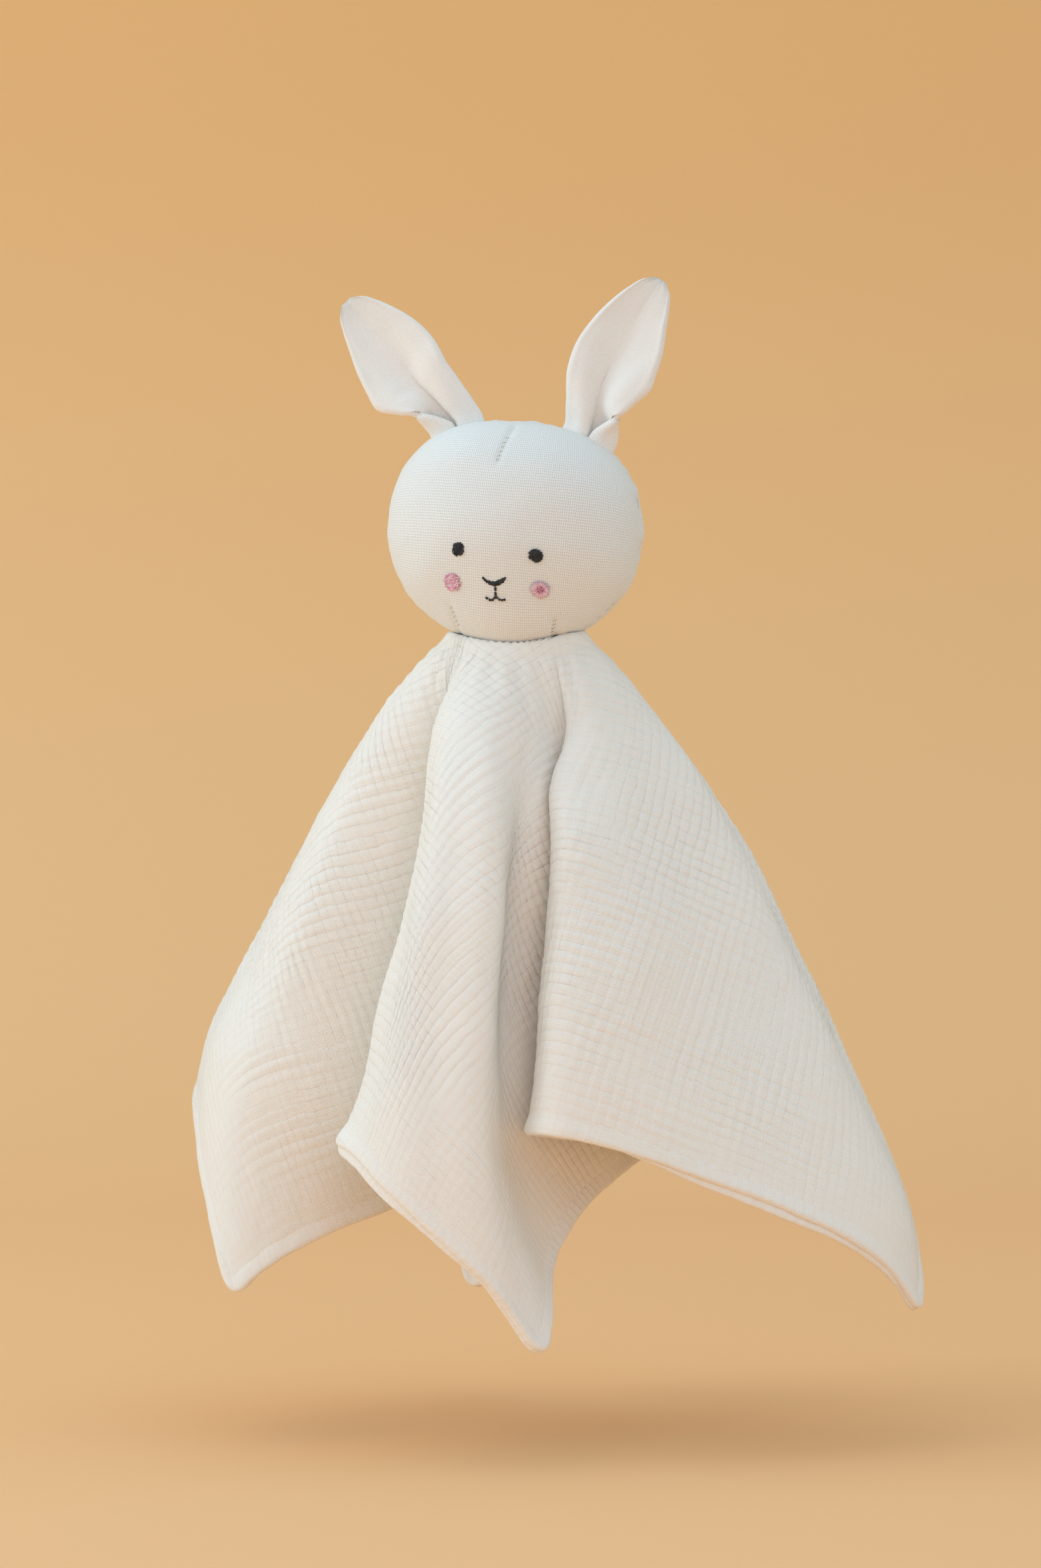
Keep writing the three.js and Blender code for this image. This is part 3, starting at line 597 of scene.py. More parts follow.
def make_head():
    """The two panels as one skin from the front's middle to the back's, drawn in along the side seam and the darts."""
    row_share = np.linspace(-1, 1, head_rows + 1)
    polar = math.pi / 2 * (1 + np.sign(row_share) * np.abs(row_share) ** row_crowding)
    turn = np.arange(head_columns) * full_turn / head_columns
    polar, turn = np.meshgrid(polar, turn, indexing="ij")
    direction = np.stack([np.sin(polar) * np.cos(turn), -np.cos(polar), np.sin(polar) * np.sin(turn)], -1)
    from_seam = head_depth / 2 * np.abs(math.pi / 2 - polar)
    rise = -seam_groove[0] * hill(from_seam, seam_groove[1])
    rim_x, rim_y = np.cos(turn) * seam_pucker_count, np.sin(turn) * seam_pucker_count
    pucker = soft_noise(rim_x * 3 + 9, rim_y * 3 + 9, 3) * 0.5 + soft_noise(rim_x * 6, rim_y * 6, 4) * 0.4
    rise += seam_puckers[0] * pucker * hill(from_seam, seam_puckers[1])
    lumps = soft_noise(direction[..., 0] * 2.5 + 5, direction[..., 2] * 2.5 + direction[..., 1] + 5, 5)
    rise += head_lumps[0] * lumps * (1 - hill(from_seam, head_lumps[1]))
    points = head_point(direction)
    rise -= dart_hollow(points, *forehead_dart, *forehead_hollow)
    rise *= 1 - smooth_step(*smooth_below, points[..., 2] - head_centre[2])
    for end, start in chin_darts:
        rise -= dart_hollow(points, start, end, *chin_hollow)
    points = head_point(direction, rise)
    place = np.minimum(polar, math.pi - polar) * (head_width / 2)
    uv = np.stack([place * np.cos(turn), place * np.sin(turn)], -1)
    inner = points[1:-1].reshape(-1, 3)
    inner_uv = uv[1:-1].reshape(-1, 2)
    points = np.concatenate([points[:1, 0], inner, points[-1:, 0]])
    index = 1 + np.arange(len(inner)).reshape(head_rows - 1, head_columns)
    index = np.concatenate([index, index[:, :1]], 1)
    faces = grid_faces(index)
    faces += [(0, a, b) for a, b in zip(index[0, :-1], index[0, 1:])]
    faces += [(len(points) - 1, b, a) for a, b in zip(index[-1, :-1], index[-1, 1:])]
    uv = np.concatenate([[(0, 0)], inner_uv, [(0, 0)]])
    return piece("head_cloth", head_to_part(points), faces, uv)


head = dressed(make_head(), head_cotton, "head", ("head_front", "head_back", "head_filling"))


# The hanging blanket

cup_top = neck_ball_radius + clearance + neck_thread + clearance + cup_ease
cup_middle = cup_top + cloth_layer + cloth_gap / 2
tip_reach = blanket_side / math.sqrt(2)


def hang_lines():
    """Each line's angles, then its neck, fold and tip in plan and its flare, with a turn's overlap at both ends."""
    rows = []
    for flat, neck, fold, *tip in hang_line_shares:
        start = heading(math.radians(neck)) * neck_radius + (neck_offset, 0)
        middle = np.array(fold) * blanket_side
        end = np.array(tip[0]) * blanket_side if tip else start + (middle - start) * tip_flare_share
        rows.append((flat, neck, *start, *middle, *end, left_flare_shares.get(flat, neck_flare_share)))
    rows = np.array(rows, float)
    turn = np.array((360, 360, *[0] * 7), float)
    return np.concatenate([rows[-2:] - turn, rows, rows[:2] + turn])


lines = hang_lines()


def fold_lean(flat_deg, reach):
    """How far right and back the folds lean away from the lines."""
    lean = np.zeros((len(reach), 2))
    for at_deg, over_deg, at, over, right, back in drape_leans:
        near = np.exp(-(degrees_away(flat_deg, at_deg) / over_deg) ** 2 - ((reach / mm - at) / over) ** 2)
        lean += near[:, None] * (right * mm, back * mm)
    return lean * smooth_step(neck_reach, bend_reach + 9 * mm, reach)[:, None]


def plan_at(line, flat_deg, reach):
    """Where each line hangs in plan at a reach: a smooth curve through its neck, fold and tip."""
    neck, fold, tip, flare = line[:, 1:3], line[:, 3:5], line[:, 5:7], line[:, 7:8]
    upper, lower = fold_reach - neck_reach, tip_reach - fold_reach
    slope_upper, slope_lower = (fold - neck) / upper, (tip - fold) / lower
    straight_out = (slope_upper * neck).sum(1, keepdims=True) / neck_radius ** 2
    above = (reach <= fold_reach)[:, None]
    span = np.where(above, upper, lower)
    u = (reach[:, None] - np.where(above, neck_reach, fold_reach)) / span
    slope_out = straight_out * neck
    slope_neck = flare * (slope_out + neck_sway_share * (slope_upper - slope_out))
    slope_middle = (slope_upper * lower + slope_lower * upper) / (upper + lower)
    start, end = np.where(above, neck, fold), np.where(above, fold, tip)
    leave, arrive = np.where(above, slope_neck, slope_middle), np.where(above, slope_middle, slope_lower)
    bend = span * (leave * (u ** 3 - 2 * u ** 2 + u) + arrive * (u ** 3 - u ** 2))
    bend += fold_lean(flat_deg, reach)
    return start * (2 * u ** 3 - 3 * u ** 2 + 1) + end * (3 * u ** 2 - 2 * u ** 3) + bend


def cup_point(neck_deg, reach):
    """The cloth's middle in a bowl under the head."""
    turn, angle = reach / cup_middle, np.radians(neck_deg)
    out = cup_middle * np.sin(turn)
    return np.stack([out * np.cos(angle), out * np.sin(angle), -cup_middle * np.cos(turn)], -1)


def hang_point(line, flat_deg, reach):
    """The hanging stretch: each step goes sideways as the plan says and falls by what is left of it."""
    kept = np.full(len(reach), 1 - crinkle_share)
    for at_deg, over_deg, share in crinkle_shares:
        kept -= share * hill(degrees_away(flat_deg, at_deg), over_deg)
    step = (tip_reach - neck_reach) / hang_steps
    height = cup_point(line[:, 0], np.full(len(reach), neck_reach))[:, 2]
    start = plan_at(line, flat_deg, np.full(len(reach), neck_reach))
    for k in range(hang_steps):
        at = neck_reach + k * step
        length = np.clip(reach - at, 0, step)
        end = plan_at(line, flat_deg, at + length)
        sideways = ((end - start) ** 2).sum(1)
        fall = np.sqrt(np.maximum((length * kept) ** 2 - sideways, (steepest_share * length) ** 2))
        going = length > 0
        height = np.where(going, height - fall, height)
        start = np.where(going[:, None], end, start)
    return np.concatenate([start, height[:, None]], 1)


def cloth_point(flat_deg, reach):
    """The cloth between its two layers, from the neck pivot: cup, bend over the neck, then the hanging folds."""
    line = spline(lines[:, 0], lines[:, 1:], flat_deg)
    cup = cup_point(line[:, 0], reach)
    hang = hang_point(line, flat_deg, np.maximum(reach, bend_reach))
    share = np.clip((reach - cup_reach) / (bend_reach - cup_reach), 0, 1)[:, None]
    start = cup_point(line[:, 0], np.full(len(reach), cup_reach))
    ridge = cup_point(line[:, 0], np.full(len(reach), neck_reach + cloth_layer))
    bend = start * (1 - share) ** 2 + ridge * 2 * share * (1 - share) + hang * share ** 2
    return np.where((reach <= cup_reach)[:, None], cup, np.where((reach >= bend_reach)[:, None], hang, bend))


cloth_cells = 300
lining_every = 4
crinkle_height = 0.44 * mm
crinkle_pitch = 4.6 * mm
# How the pleats sway: over which lengths across and along them, and by what share of a pitch
crinkle_sways = ((0.05, 0.11, 0.9), (0.018, 0.06, 0.3))
crinkle_patch = 0.035
crinkle_sets = (0.55, 0.62)
crinkle_lumps = (6 * mm, 0.45)
gather_height = 0.36 * mm
gather_count = 23
gather_length = 28 * mm
wave_height = 1.3 * mm


def flat_degrees(p, q):
    """The angle of places on the flat square, from the corner that hangs on the right."""
    return np.mod(np.degrees(np.arctan2(q, p)) + 45, 360)


def flat_places():
    """Places on the flat square, across and along its ribs, with its corners rounded."""
    half, square = blanket_side / 2, blanket_side / 2 - blanket_corner
    p, q = np.meshgrid(*[np.linspace(-half, half, cloth_cells + 1)] * 2, indexing="ij")
    u = np.maximum(np.abs(p) - square, 0) / blanket_corner
    v = np.maximum(np.abs(q) - square, 0) / blanket_corner
    both = (u > 0) & (v > 0)
    rounded_p = np.sign(p) * (square + blanket_corner * u * np.sqrt(1 - v ** 2 / 2))
    rounded_q = np.sign(q) * (square + blanket_corner * v * np.sqrt(1 - u ** 2 / 2))
    return np.where(both, rounded_p, p), np.where(both, rounded_q, q)


def smoothed(table, rounds):
    """Each value moved to the mean of itself and its neighbours along both ways, a few times over."""
    for _ in range(rounds):
        for _ in range(2):
            wide = np.pad(table, ((1, 1), (0, 0), (0, 0)), mode="edge")
            table = ((wide[:-2] + 2 * wide[1:-1] + wide[2:]) / 4).swapaxes(0, 1)
    return table


def crinkles(p, q, seed):
    """The muslin's relief, from about -1 to 1: puffed cells between two crossing sets of uneven pleats."""
    relief = 0
    for u, v, turn, height in ((p, q, 0, crinkle_sets[0]), (q, p, 10, crinkle_sets[1])):
        sway = sum(soft_noise(u / short, v / long, seed + turn + k) * share
                   for k, (short, long, share) in enumerate(crinkle_sways))
        pleats = np.sin(full_turn * (u / crinkle_pitch + sway))
        patches = soft_noise(u / crinkle_patch, v / crinkle_patch, seed + turn + 2)
        relief = relief + pleats * np.clip(0.45 + 0.55 * patches, 0.12, 1) * height
    lump, share = crinkle_lumps
    return relief + soft_noise(p / lump, q / lump, seed + 4) * share


def gathers(reach, angle, seed):
    """Small gathers that start at the neck seam and fade down the cloth."""
    folds = np.sin(angle * gather_count + soft_noise(angle * 4, reach / 0.03, seed) * 2.4)
    fade = smooth_step(neck_reach, bend_reach + 4 * mm, reach)
    fade *= np.exp(-np.maximum(reach - bend_reach, 0) / gather_length)
    return folds * fade


def facing(points, rounds):
    """Which way the cloth faces at each point of its table."""
    return unit(smoothed(unit(np.cross(np.gradient(points, axis=0), np.gradient(points, axis=1))), rounds))


def drape():
    """The flat square's places and, for each, where it hangs and which way it faces."""
    p, q = flat_places()
    reach, flat_deg = np.hypot(p, q), flat_degrees(p, q)
    points = cloth_point(flat_deg.ravel(), reach.ravel()).reshape(*p.shape, 3)
    points = neck_settled(points, flat_deg, reach)
    eased = smooth_step(*neck_ease_from, reach) * (1 - smooth_step(neck_end, neck_ease_to, reach))
    points = points + (smoothed(points, neck_ease_rounds) - points) * eased[..., None]
    normals = facing(points, 2)
    hanging = smooth_step(bend_reach, bend_reach + 30 * mm, reach)[..., None]
    waves = soft_noise(p / 0.05, q / 0.07, 11) + 0.5 * soft_noise(p / 0.026, q / 0.034, 12)
    points = points + normals * (waves * wave_height)[..., None] * hanging
    points += normals * (gathers(reach, np.arctan2(q, p), 15) * gather_height)[..., None]
    return p, q, points, facing(points, 1)


ring_deg = np.arange(0, 360, 0.5)


def evened(table):
    """A table round the neck, each value the mean of those some 12 degrees about it."""
    steps = np.arange(-60, 61)
    shares = np.exp(-(steps / 24) ** 2 / 2)
    return sum(np.roll(table, k, 0) * share for k, share in zip(steps, shares)) / shares.sum()


def neck_settled(points, flat_deg, reach):
    """The cloth against the head's underside, and straight from there down to where it hangs by itself."""
    near = reach < neck_end
    flat_deg, reach = flat_deg[near], reach[near]
    turn = spline(lines[:, 0], lines[:, 1:2], ring_deg) - ring_deg[:, None]
    neck_deg = flat_deg + read_off(flat_deg, ring_deg, evened(turn), 360)[:, 0]
    front_share = np.sin(np.radians(neck_deg + blanket_turn_deg)) ** 2
    edge = touch_reach[0] + (touch_reach[1] - touch_reach[0]) * front_share
    spot = cup_point(neck_deg, np.minimum(reach, edge))
    spot[:, 0] += neck_offset * np.minimum(reach / edge, 1)
    spot = unit(spot)
    under = head_from_pivot(turned(turned(spot, blanket_turn_deg, "z"), -head_lean_deg, "y"))
    spot *= (under + neck_touch + cloth_layer + cloth_gap / 2)[:, None]
    share = np.clip((reach - edge) / (neck_end - edge), 0, 1)[:, None]
    low = cloth_point(ring_deg, np.full(len(ring_deg), neck_end))
    plain, low = (read_off(flat_deg, ring_deg, table, 360) for table in (evened(low), low))
    folded = smooth_step(neck_folds_from, 1, share)
    low = plain * (1 - folded) + low * folded
    out = unit(spot[:, :2]) * (1 - front_share)[:, None] * shoulder_rise * 4 * share * (1 - share)
    points = points.copy()
    points[near] = spot * (1 - share) + low * share
    points[near, :2] += out
    return points


def blanket_to_part(points):
    return turned(points, blanket_turn_deg, "z") + neck_pivot


flat_p, flat_q, cloth_middle, cloth_normal = drape()


# Where the crinkles are lower: toward the hem, from one reach to another, and about the front fold's angle, over some
# degrees, each by a share
hem_calm = (160 * mm, 270 * mm, 0.55)
fold_calm = (256, 18, 0.5)


def cloth_layer_piece(name, side, seed):
    """One layer of the blanket: a crinkled face on the side that shows and a plain one between the layers."""
    reach = np.hypot(flat_p, flat_q)
    relief = crinkles(flat_p, flat_q, seed) * crinkle_height * smooth_step(cup_reach, bend_reach, reach)
    relief *= 1 - hem_calm[2] * smooth_step(*hem_calm[:2], reach)
    relief *= 1 - fold_calm[2] * hill(flat_degrees(flat_p, flat_q) - fold_calm[0], fold_calm[1])
    shown = cloth_middle + cloth_normal * side * (cloth_gap / 2 + cloth_layer + relief)[..., None]
    hidden = (cloth_middle + cloth_normal * side * cloth_gap / 2)[::lining_every, ::lining_every]
    fine = np.arange(flat_p.size).reshape(flat_p.shape)
    coarse = flat_p.size + np.arange(hidden[..., 0].size).reshape(hidden.shape[:2])
    faces = grid_faces(fine, side < 0) + grid_faces(coarse, side > 0)
    rim, inner_rim = around(fine), around(coarse)
    for i in range(len(rim)):
        a, b = rim[i], rim[(i + 1) % len(rim)]
        c, d = (inner_rim[-(-j // lining_every) % len(inner_rim)] for j in (i, i + 1))
        around_rim = [(b, a, c)] + ([(b, c, d)] if c != d else [])
        faces += around_rim if side > 0 else [f[::-1] for f in around_rim]
    points = np.concatenate([shown.reshape(-1, 3), hidden.reshape(-1, 3)])
    places = np.stack([flat_p, flat_q], -1)
    uv = np.concatenate([places.reshape(-1, 2), places[::lining_every, ::lining_every].reshape(-1, 2)])
    return piece(name, blanket_to_part(points), faces, uv)


# Where a lip of the edge hangs lower: an angle on the flat square, over how many degrees, and how far in millimetres
# for the back lip and for the front one
low_lips = (
    (249, 13, 4, 0), (346, 9, 2.6, 0), (120, 15, 1.2, 0), (205, 10, 0.8, 0), (326, 5, 0.8, 3.2), (241.5, 4, 1.2, 2),
)
# Where both lips are plumper, besides the corners: an angle, over how many degrees and by what share
plump_lips = ((322, 5, 0.45), (242, 5, 0.35))
corner_plump = (3.5, 0.3)
hem_step = 1.5 * mm
hem_sides = 18
lip_reach = 7 * mm
lip_bulge = 1.3 * mm
lip_half_height = 1.15 * mm
lip_from_middle = 0.85 * mm
lip_ripple = 0.25 * mm


def drawn_in(table, share):
    """A table's values on its edge, once round, after the edge is drawn toward the middle by a share."""
    half = cloth_cells / 2
    row, column = (half + (around(steps) - half) * (1 - share) for steps in np.indices(table.shape[:2]))
    i, j = (np.minimum(at.astype(int), cloth_cells - 1) for at in (row, column))
    u, v = (row - i)[:, None], (column - j)[:, None]
    near = table[i, j] * (1 - u) + table[i + 1, j] * u
    far = table[i, j + 1] * (1 - u) + table[i + 1, j + 1] * u
    return near * (1 - v) + far * v


def hem_rolls():
    """The turned edge all round the cloth: a front and a back lip that thin out into the cloth."""
    places = np.stack([flat_p, flat_q], -1)
    rim = drawn_in(cloth_middle, 0)
    along_at = np.concatenate([[0], np.cumsum(np.linalg.norm(np.roll(rim, -1, 0) - rim, axis=1))])
    steps = int(along_at[-1] / hem_step)
    at = np.arange(steps) * along_at[-1] / steps

    def edge(table, depth):
        rows = drawn_in(table, depth / (blanket_side / 2))
        rows = read_off(at, along_at, np.concatenate([rows, rows[:1]]))
        return (np.roll(rows, 1, 0) + 2 * rows + np.roll(rows, -1, 0)) / 4

    rim = edge(cloth_middle, 0)
    along = unit(np.roll(rim, -1, 0) - np.roll(rim, 1, 0))
    outward = unit(np.cross(along, edge(cloth_normal, 0)))
    rim_place = edge(places, 0)
    flat_deg = flat_degrees(rim_place[:, 0], rim_place[:, 1])

    def near(at_deg, over_deg):
        return hill(degrees_away(flat_deg, at_deg), over_deg)

    def uneven(length, seed, start=0):
        return soft_noise(at / length, at * 0 + start, seed)

    back_low = sum(near(at_deg, over_deg) * back * mm for at_deg, over_deg, back, _ in low_lips)
    front_low = sum(near(at_deg, over_deg) * front * mm for at_deg, over_deg, _, front in low_lips)
    plump = sum(near(at_deg, over_deg) * share for at_deg, over_deg, share in plump_lips)
    plump += hill(np.abs(np.mod(flat_deg + 45, 90) - 45), corner_plump[0]) * corner_plump[1]
    turn = np.arange(hem_sides) * full_turn / hem_sides
    rings, faces, uv = [], [], []
    for side, seed, low in ((1, 21, front_low), (-1, 27, back_low)):
        size = 1 + uneven(5 * mm, seed) * 0.12 + uneven(2.4 * mm, seed + 1, 3) * 0.06
        size += plump
        ripple = uneven(14 * mm, seed + 2, 7) * lip_ripple + low
        ring, ring_uv = [], []
        for c, s in zip(np.cos(turn), np.sin(turn)):
            inward = max(-c, 0)
            out = np.maximum(c, 0) * size * lip_bulge + ripple * (1 - inward)
            thinned = s if c > 0 else np.sign(s) * (0.5 + 0.5 * math.cos(math.pi * c))
            height = thinned * size * lip_half_height + side * lip_from_middle
            depth = inward * lip_reach
            lifted = edge(cloth_normal, depth) * height[:, None]
            ring.append(edge(cloth_middle, depth) + outward * out[:, None] + lifted)
            ring_uv.append(edge(places, depth) + unit(rim_place) * out[:, None])
        index = np.arange(steps * hem_sides).reshape(steps, hem_sides) + sum(len(r) for r in rings)
        index = np.concatenate([index, index[:1]], 0)
        index = np.concatenate([index, index[:, :1]], 1)
        rings.append(np.stack(ring, 1).reshape(-1, 3))
        faces += grid_faces(index, True)
        uv.append(np.stack(ring_uv, 1).reshape(-1, 2))
    return piece("blanket_hem", blanket_to_part(np.concatenate(rings)), faces, np.concatenate(uv))


hem = dressed(hem_rolls(), muslin, "blanket", ("blanket_edge_seam",))
blanket = dressed(cloth_layer_piece("blanket_cloth", 1, 31), muslin, "blanket", ("blanket_outer",))
lining = dressed(cloth_layer_piece("blanket_back_cloth", -1, 41), muslin, "blanket", ("blanket_lining",))


# Face, in embroidery stitches

stitch_cuts = (-0.42, -0.25, 0, 0.25, 0.42)


def thread_stitch():
    """One stitch, modelled once: a six-sided thread along X, its ends drawn in, from -0.5 to 0.5."""
    bpy.ops.object.select_all(action="DESELECT")
    bpy.ops.mesh.primitive_cylinder_add(vertices=6, radius=1, depth=1, end_fill_type="TRIFAN",
                                        rotation=(0, math.pi / 2, 0))
    made = bpy.context.object
    bpy.ops.object.transform_apply(rotation=True)
    bpy.ops.object.mode_set(mode="EDIT")
    for station in stitch_cuts:
        bpy.ops.mesh.select_all(action="SELECT")
        bpy.ops.mesh.bisect(plane_co=(station, 0, 0), plane_no=(1, 0, 0))
    bpy.ops.object.mode_set(mode="OBJECT")
    points = np.array([v.co for v in made.data.vertices])
    faces = [tuple(f.vertices) for f in made.data.polygons]
    bpy.data.objects.remove(made)
    return points, faces


stitch_points, stitch_faces = thread_stitch()


def stitch(middle, step, radius, rise, tone):
    return (*(middle - step), *(middle + step), radius, rise, tone)


def embroidered(name, stitches, finish, replaces):
    """Copies of the one stitch, each laid on the face from one place to another with its own radius, rise and tone."""
    stitches = np.array(stitches, float)
    start, end = stitches[:, :2], stitches[:, 2:4]
    radius, rise, tone = stitches[:, 4:].T
    share = stitch_points[:, 0] + 0.5

    def centre(at, lift):
        places = start[:, None] + (end - start)[:, None] * at[None, :, None]
        return on_face(places[..., 0], places[..., 1], lift)

    dome = np.sqrt(np.clip(1 - (2 * share - 1) ** 4, 0, 1))[None, :]
    lift = rise[:, None] * dome - radius[:, None] * (1 - dome) * 1.6
    middle = centre(share, lift)
    ahead = unit(centre(np.ones(1), rise[:, None]) - centre(np.zeros(1), rise[:, None]))
    out = unit(middle - head_centre)
    aside = unit(np.cross(ahead, out))
    taper = (0.35 + 0.65 * dome) * radius[:, None]
    points = middle + aside * (stitch_points[:, 1] * taper)[..., None] + out * (stitch_points[:, 2] * taper)[..., None]
    count = len(stitch_points)
    faces = [tuple(k * count + i for i in face) for k in range(len(stitches)) for face in stitch_faces]
    length = np.linalg.norm(end - start, axis=1)[:, None] * share[None, :]
    round_it = np.arctan2(stitch_points[:, 2], stitch_points[:, 1]) / full_turn
    uv = np.stack([length, np.broadcast_to(round_it, length.shape)], -1)
    made = piece(name, head_to_part(points.reshape(-1, 3)), faces, uv.reshape(-1, 2))
    shade = made.data.attributes.new("thread_tone", "FLOAT", "POINT")
    shade.data.foreach_set("value", np.repeat(tone, count).astype(np.float32))
    return dressed(made, finish, "head", replaces)


def outline_reach(turn, bumps):
    """An uneven round outline: 1 plus a few bumps, each an angle in degrees, a width and a height."""
    reach = np.ones_like(turn)
    for at, width, height in bumps:
        reach += height * hill(degrees_away(np.degrees(turn), at), width)
    return reach


def satin_fill(place, size, lean_deg, bumps, radius, rise, seed, spacing=1.35, jitter=0.24 * mm, tones=(0, 1)):
    """Parallel stitches that fill a patch from edge to edge."""
    rng = np.random.default_rng(seed)
    lean = math.radians(lean_deg)
    along, across = heading(lean), np.array((-math.sin(lean), math.cos(lean)))
    half = np.array(size) / 2
    turn = np.linspace(0, full_turn, 181)
    rim = np.stack([np.cos(turn), np.sin(turn)], -1) * outline_reach(turn, bumps)[:, None] * half
    stitches = []
    offset = (rim @ across).min() + radius
    while offset < (rim @ across).max() - radius * 0.4:
        side = rim @ across - offset
        crossings = np.where(side[:-1] * side[1:] <= 0)[0]
        reaches = (rim @ along)[crossings]
        if len(reaches) > 1:
            low, high = reaches.min(), reaches.max()
            low, high = low + rng.normal(0, jitter), high + rng.normal(0, jitter)
            a, b = place + along * low + across * offset, place + along * high + across * offset
            height = rise * (0.75 + 0.5 * rng.random())
            stitches.append((*a, *b, radius, height, rng.uniform(*tones)))
        offset += radius * spacing
    return stitches


eye_thread = 0.19 * mm
over_thread = 0.17 * mm
left_eye = np.array((-eye_across, -eye_drop))
right_eye = np.array((eye_across, -eye_drop))
left_cheek = np.array((-cheek_across, -cheek_drop))
right_cheek = np.array((cheek_across, -cheek_drop))
left_scattered = 90
left_scatter_reach = 3.3 * mm
right_rays = 58
right_scattered = 34
right_scatter_reach = 1.5 * mm


def make_eyes():
    """Each eye is filled once and then once more across, with looser stitches."""
    left = satin_fill(left_eye, (4.7 * mm, 5.1 * mm), 62, ((238, 22, 0.22), (175, 30, -0.1)),
                      eye_thread, rise=0.42 * mm, seed=51)
    left += satin_fill(left_eye - (0.3 * mm, 0.2 * mm), (3.4 * mm, 4.2 * mm), 98, ((238, 30, 0.18),),
                       over_thread, rise=0.62 * mm, seed=52, spacing=2.6, tones=(0.4, 1))
    right = satin_fill(right_eye, (5.2 * mm, 4.9 * mm), 28, ((165, 14, 0.12), (20, 20, 0.06)),
                       eye_thread, rise=0.42 * mm, seed=53)
    right += satin_fill(right_eye, (4.2 * mm, 4.1 * mm), 118, ((165, 14, 0.1),),
                        over_thread, rise=0.62 * mm, seed=54, spacing=2.4, tones=(0.2, 1))
    embroidered("left_eye_stitches", left, black_thread, ("left_eye",))
    embroidered("right_eye_stitches", right, black_thread, ("right_eye",))


def make_cheeks():
    """The left one is a fill under scattered stitches, the right one a ring of rays with scattered stitches inside."""
    rng = np.random.default_rng(61)
    left = satin_fill(left_cheek, (6.4 * mm, 6.3 * mm), 8, ((20, 60, 0.04),),
                      over_thread, rise=0.2 * mm, seed=62, spacing=1.5, jitter=0.3 * mm, tones=(0.25, 0.75))
    for _ in range(left_scattered):
        turn, reach = rng.uniform(0, full_turn), left_scatter_reach * math.sqrt(rng.random())
        middle = left_cheek + heading(turn, high=0.96) * reach
        step = heading(math.radians(rng.normal(12, 26))) * rng.uniform(0.45, 0.85) * mm
        left.append(stitch(middle, step, 0.16 * mm, 0.36 * mm, rng.choice((0.1, 0.45, 0.8, 1.3))))
    embroidered("left_cheek_stitches", left, pink_thread, ("left_cheek",))
    right = []
    for k in range(right_rays):
        toward = heading(full_turn * (k + rng.uniform(-0.3, 0.3)) / right_rays, 1.12, 0.94)
        inner, outer = rng.uniform(0.9, 1.5) * mm, rng.uniform(2.9, 3.45) * mm
        right.append((*(right_cheek + toward * inner), *(right_cheek + toward * outer), over_thread,
                      rng.uniform(0.2, 0.4) * mm, (0.35, 1.25)[k % 2] + rng.uniform(-0.2, 0.2)))
    for _ in range(right_scattered):
        turn, reach = rng.uniform(0, full_turn), right_scatter_reach * math.sqrt(rng.random())
        middle = right_cheek + heading(turn, wide=1.1) * reach
        step = heading(rng.uniform(0, math.pi)) * rng.uniform(0.4, 0.7) * mm
        right.append(stitch(middle, step, over_thread, 0.45 * mm, rng.uniform(0, 0.45)))
    embroidered("right_cheek_stitches", right, pink_thread, ("right_cheek",))


# The nose's cup shape and the mouth's line, from the nose's middle and the mouth's middle, in millimetres
nose_top = np.array(((-4.6, 0.9), (-3.5, 0.1), (-1.8, -0.3), (-0.2, -0.2), (1.4, 0.6), (2.3, 1.3), (3.7, 1.6)))
nose_bottom = np.array(((-4.5, 0.2), (-3.1, -1.2), (-1.3, -2.0), (0.2, -2.4), (2.0, -1.6), (3.4, -0.9), (3.9, 0.8)))
mouth_line = ((-3.5, -0.4), (-1.1, -1.5), (0.4, 0.1), (2.2, -1.1), (4.0, -0.6))
stem_line = ((0.2, -2.2), (0.2, -3.9), (0.4, -5.7))
nose_stitches = 30
nose_thread = 0.25 * mm
nose_over_thread = 0.2 * mm
stem_thread = 0.48 * mm
mouth_thread = 0.5 * mm
line_rise = 0.35 * mm
dart_thread = 0.14 * mm
dart_step = (0.55 * mm, 0.35 * mm)


def along_row(row, share):
    """The place at a share of the way along a row of places, in metres."""
    return read_off(share * (len(row) - 1), np.arange(len(row)), row) * mm


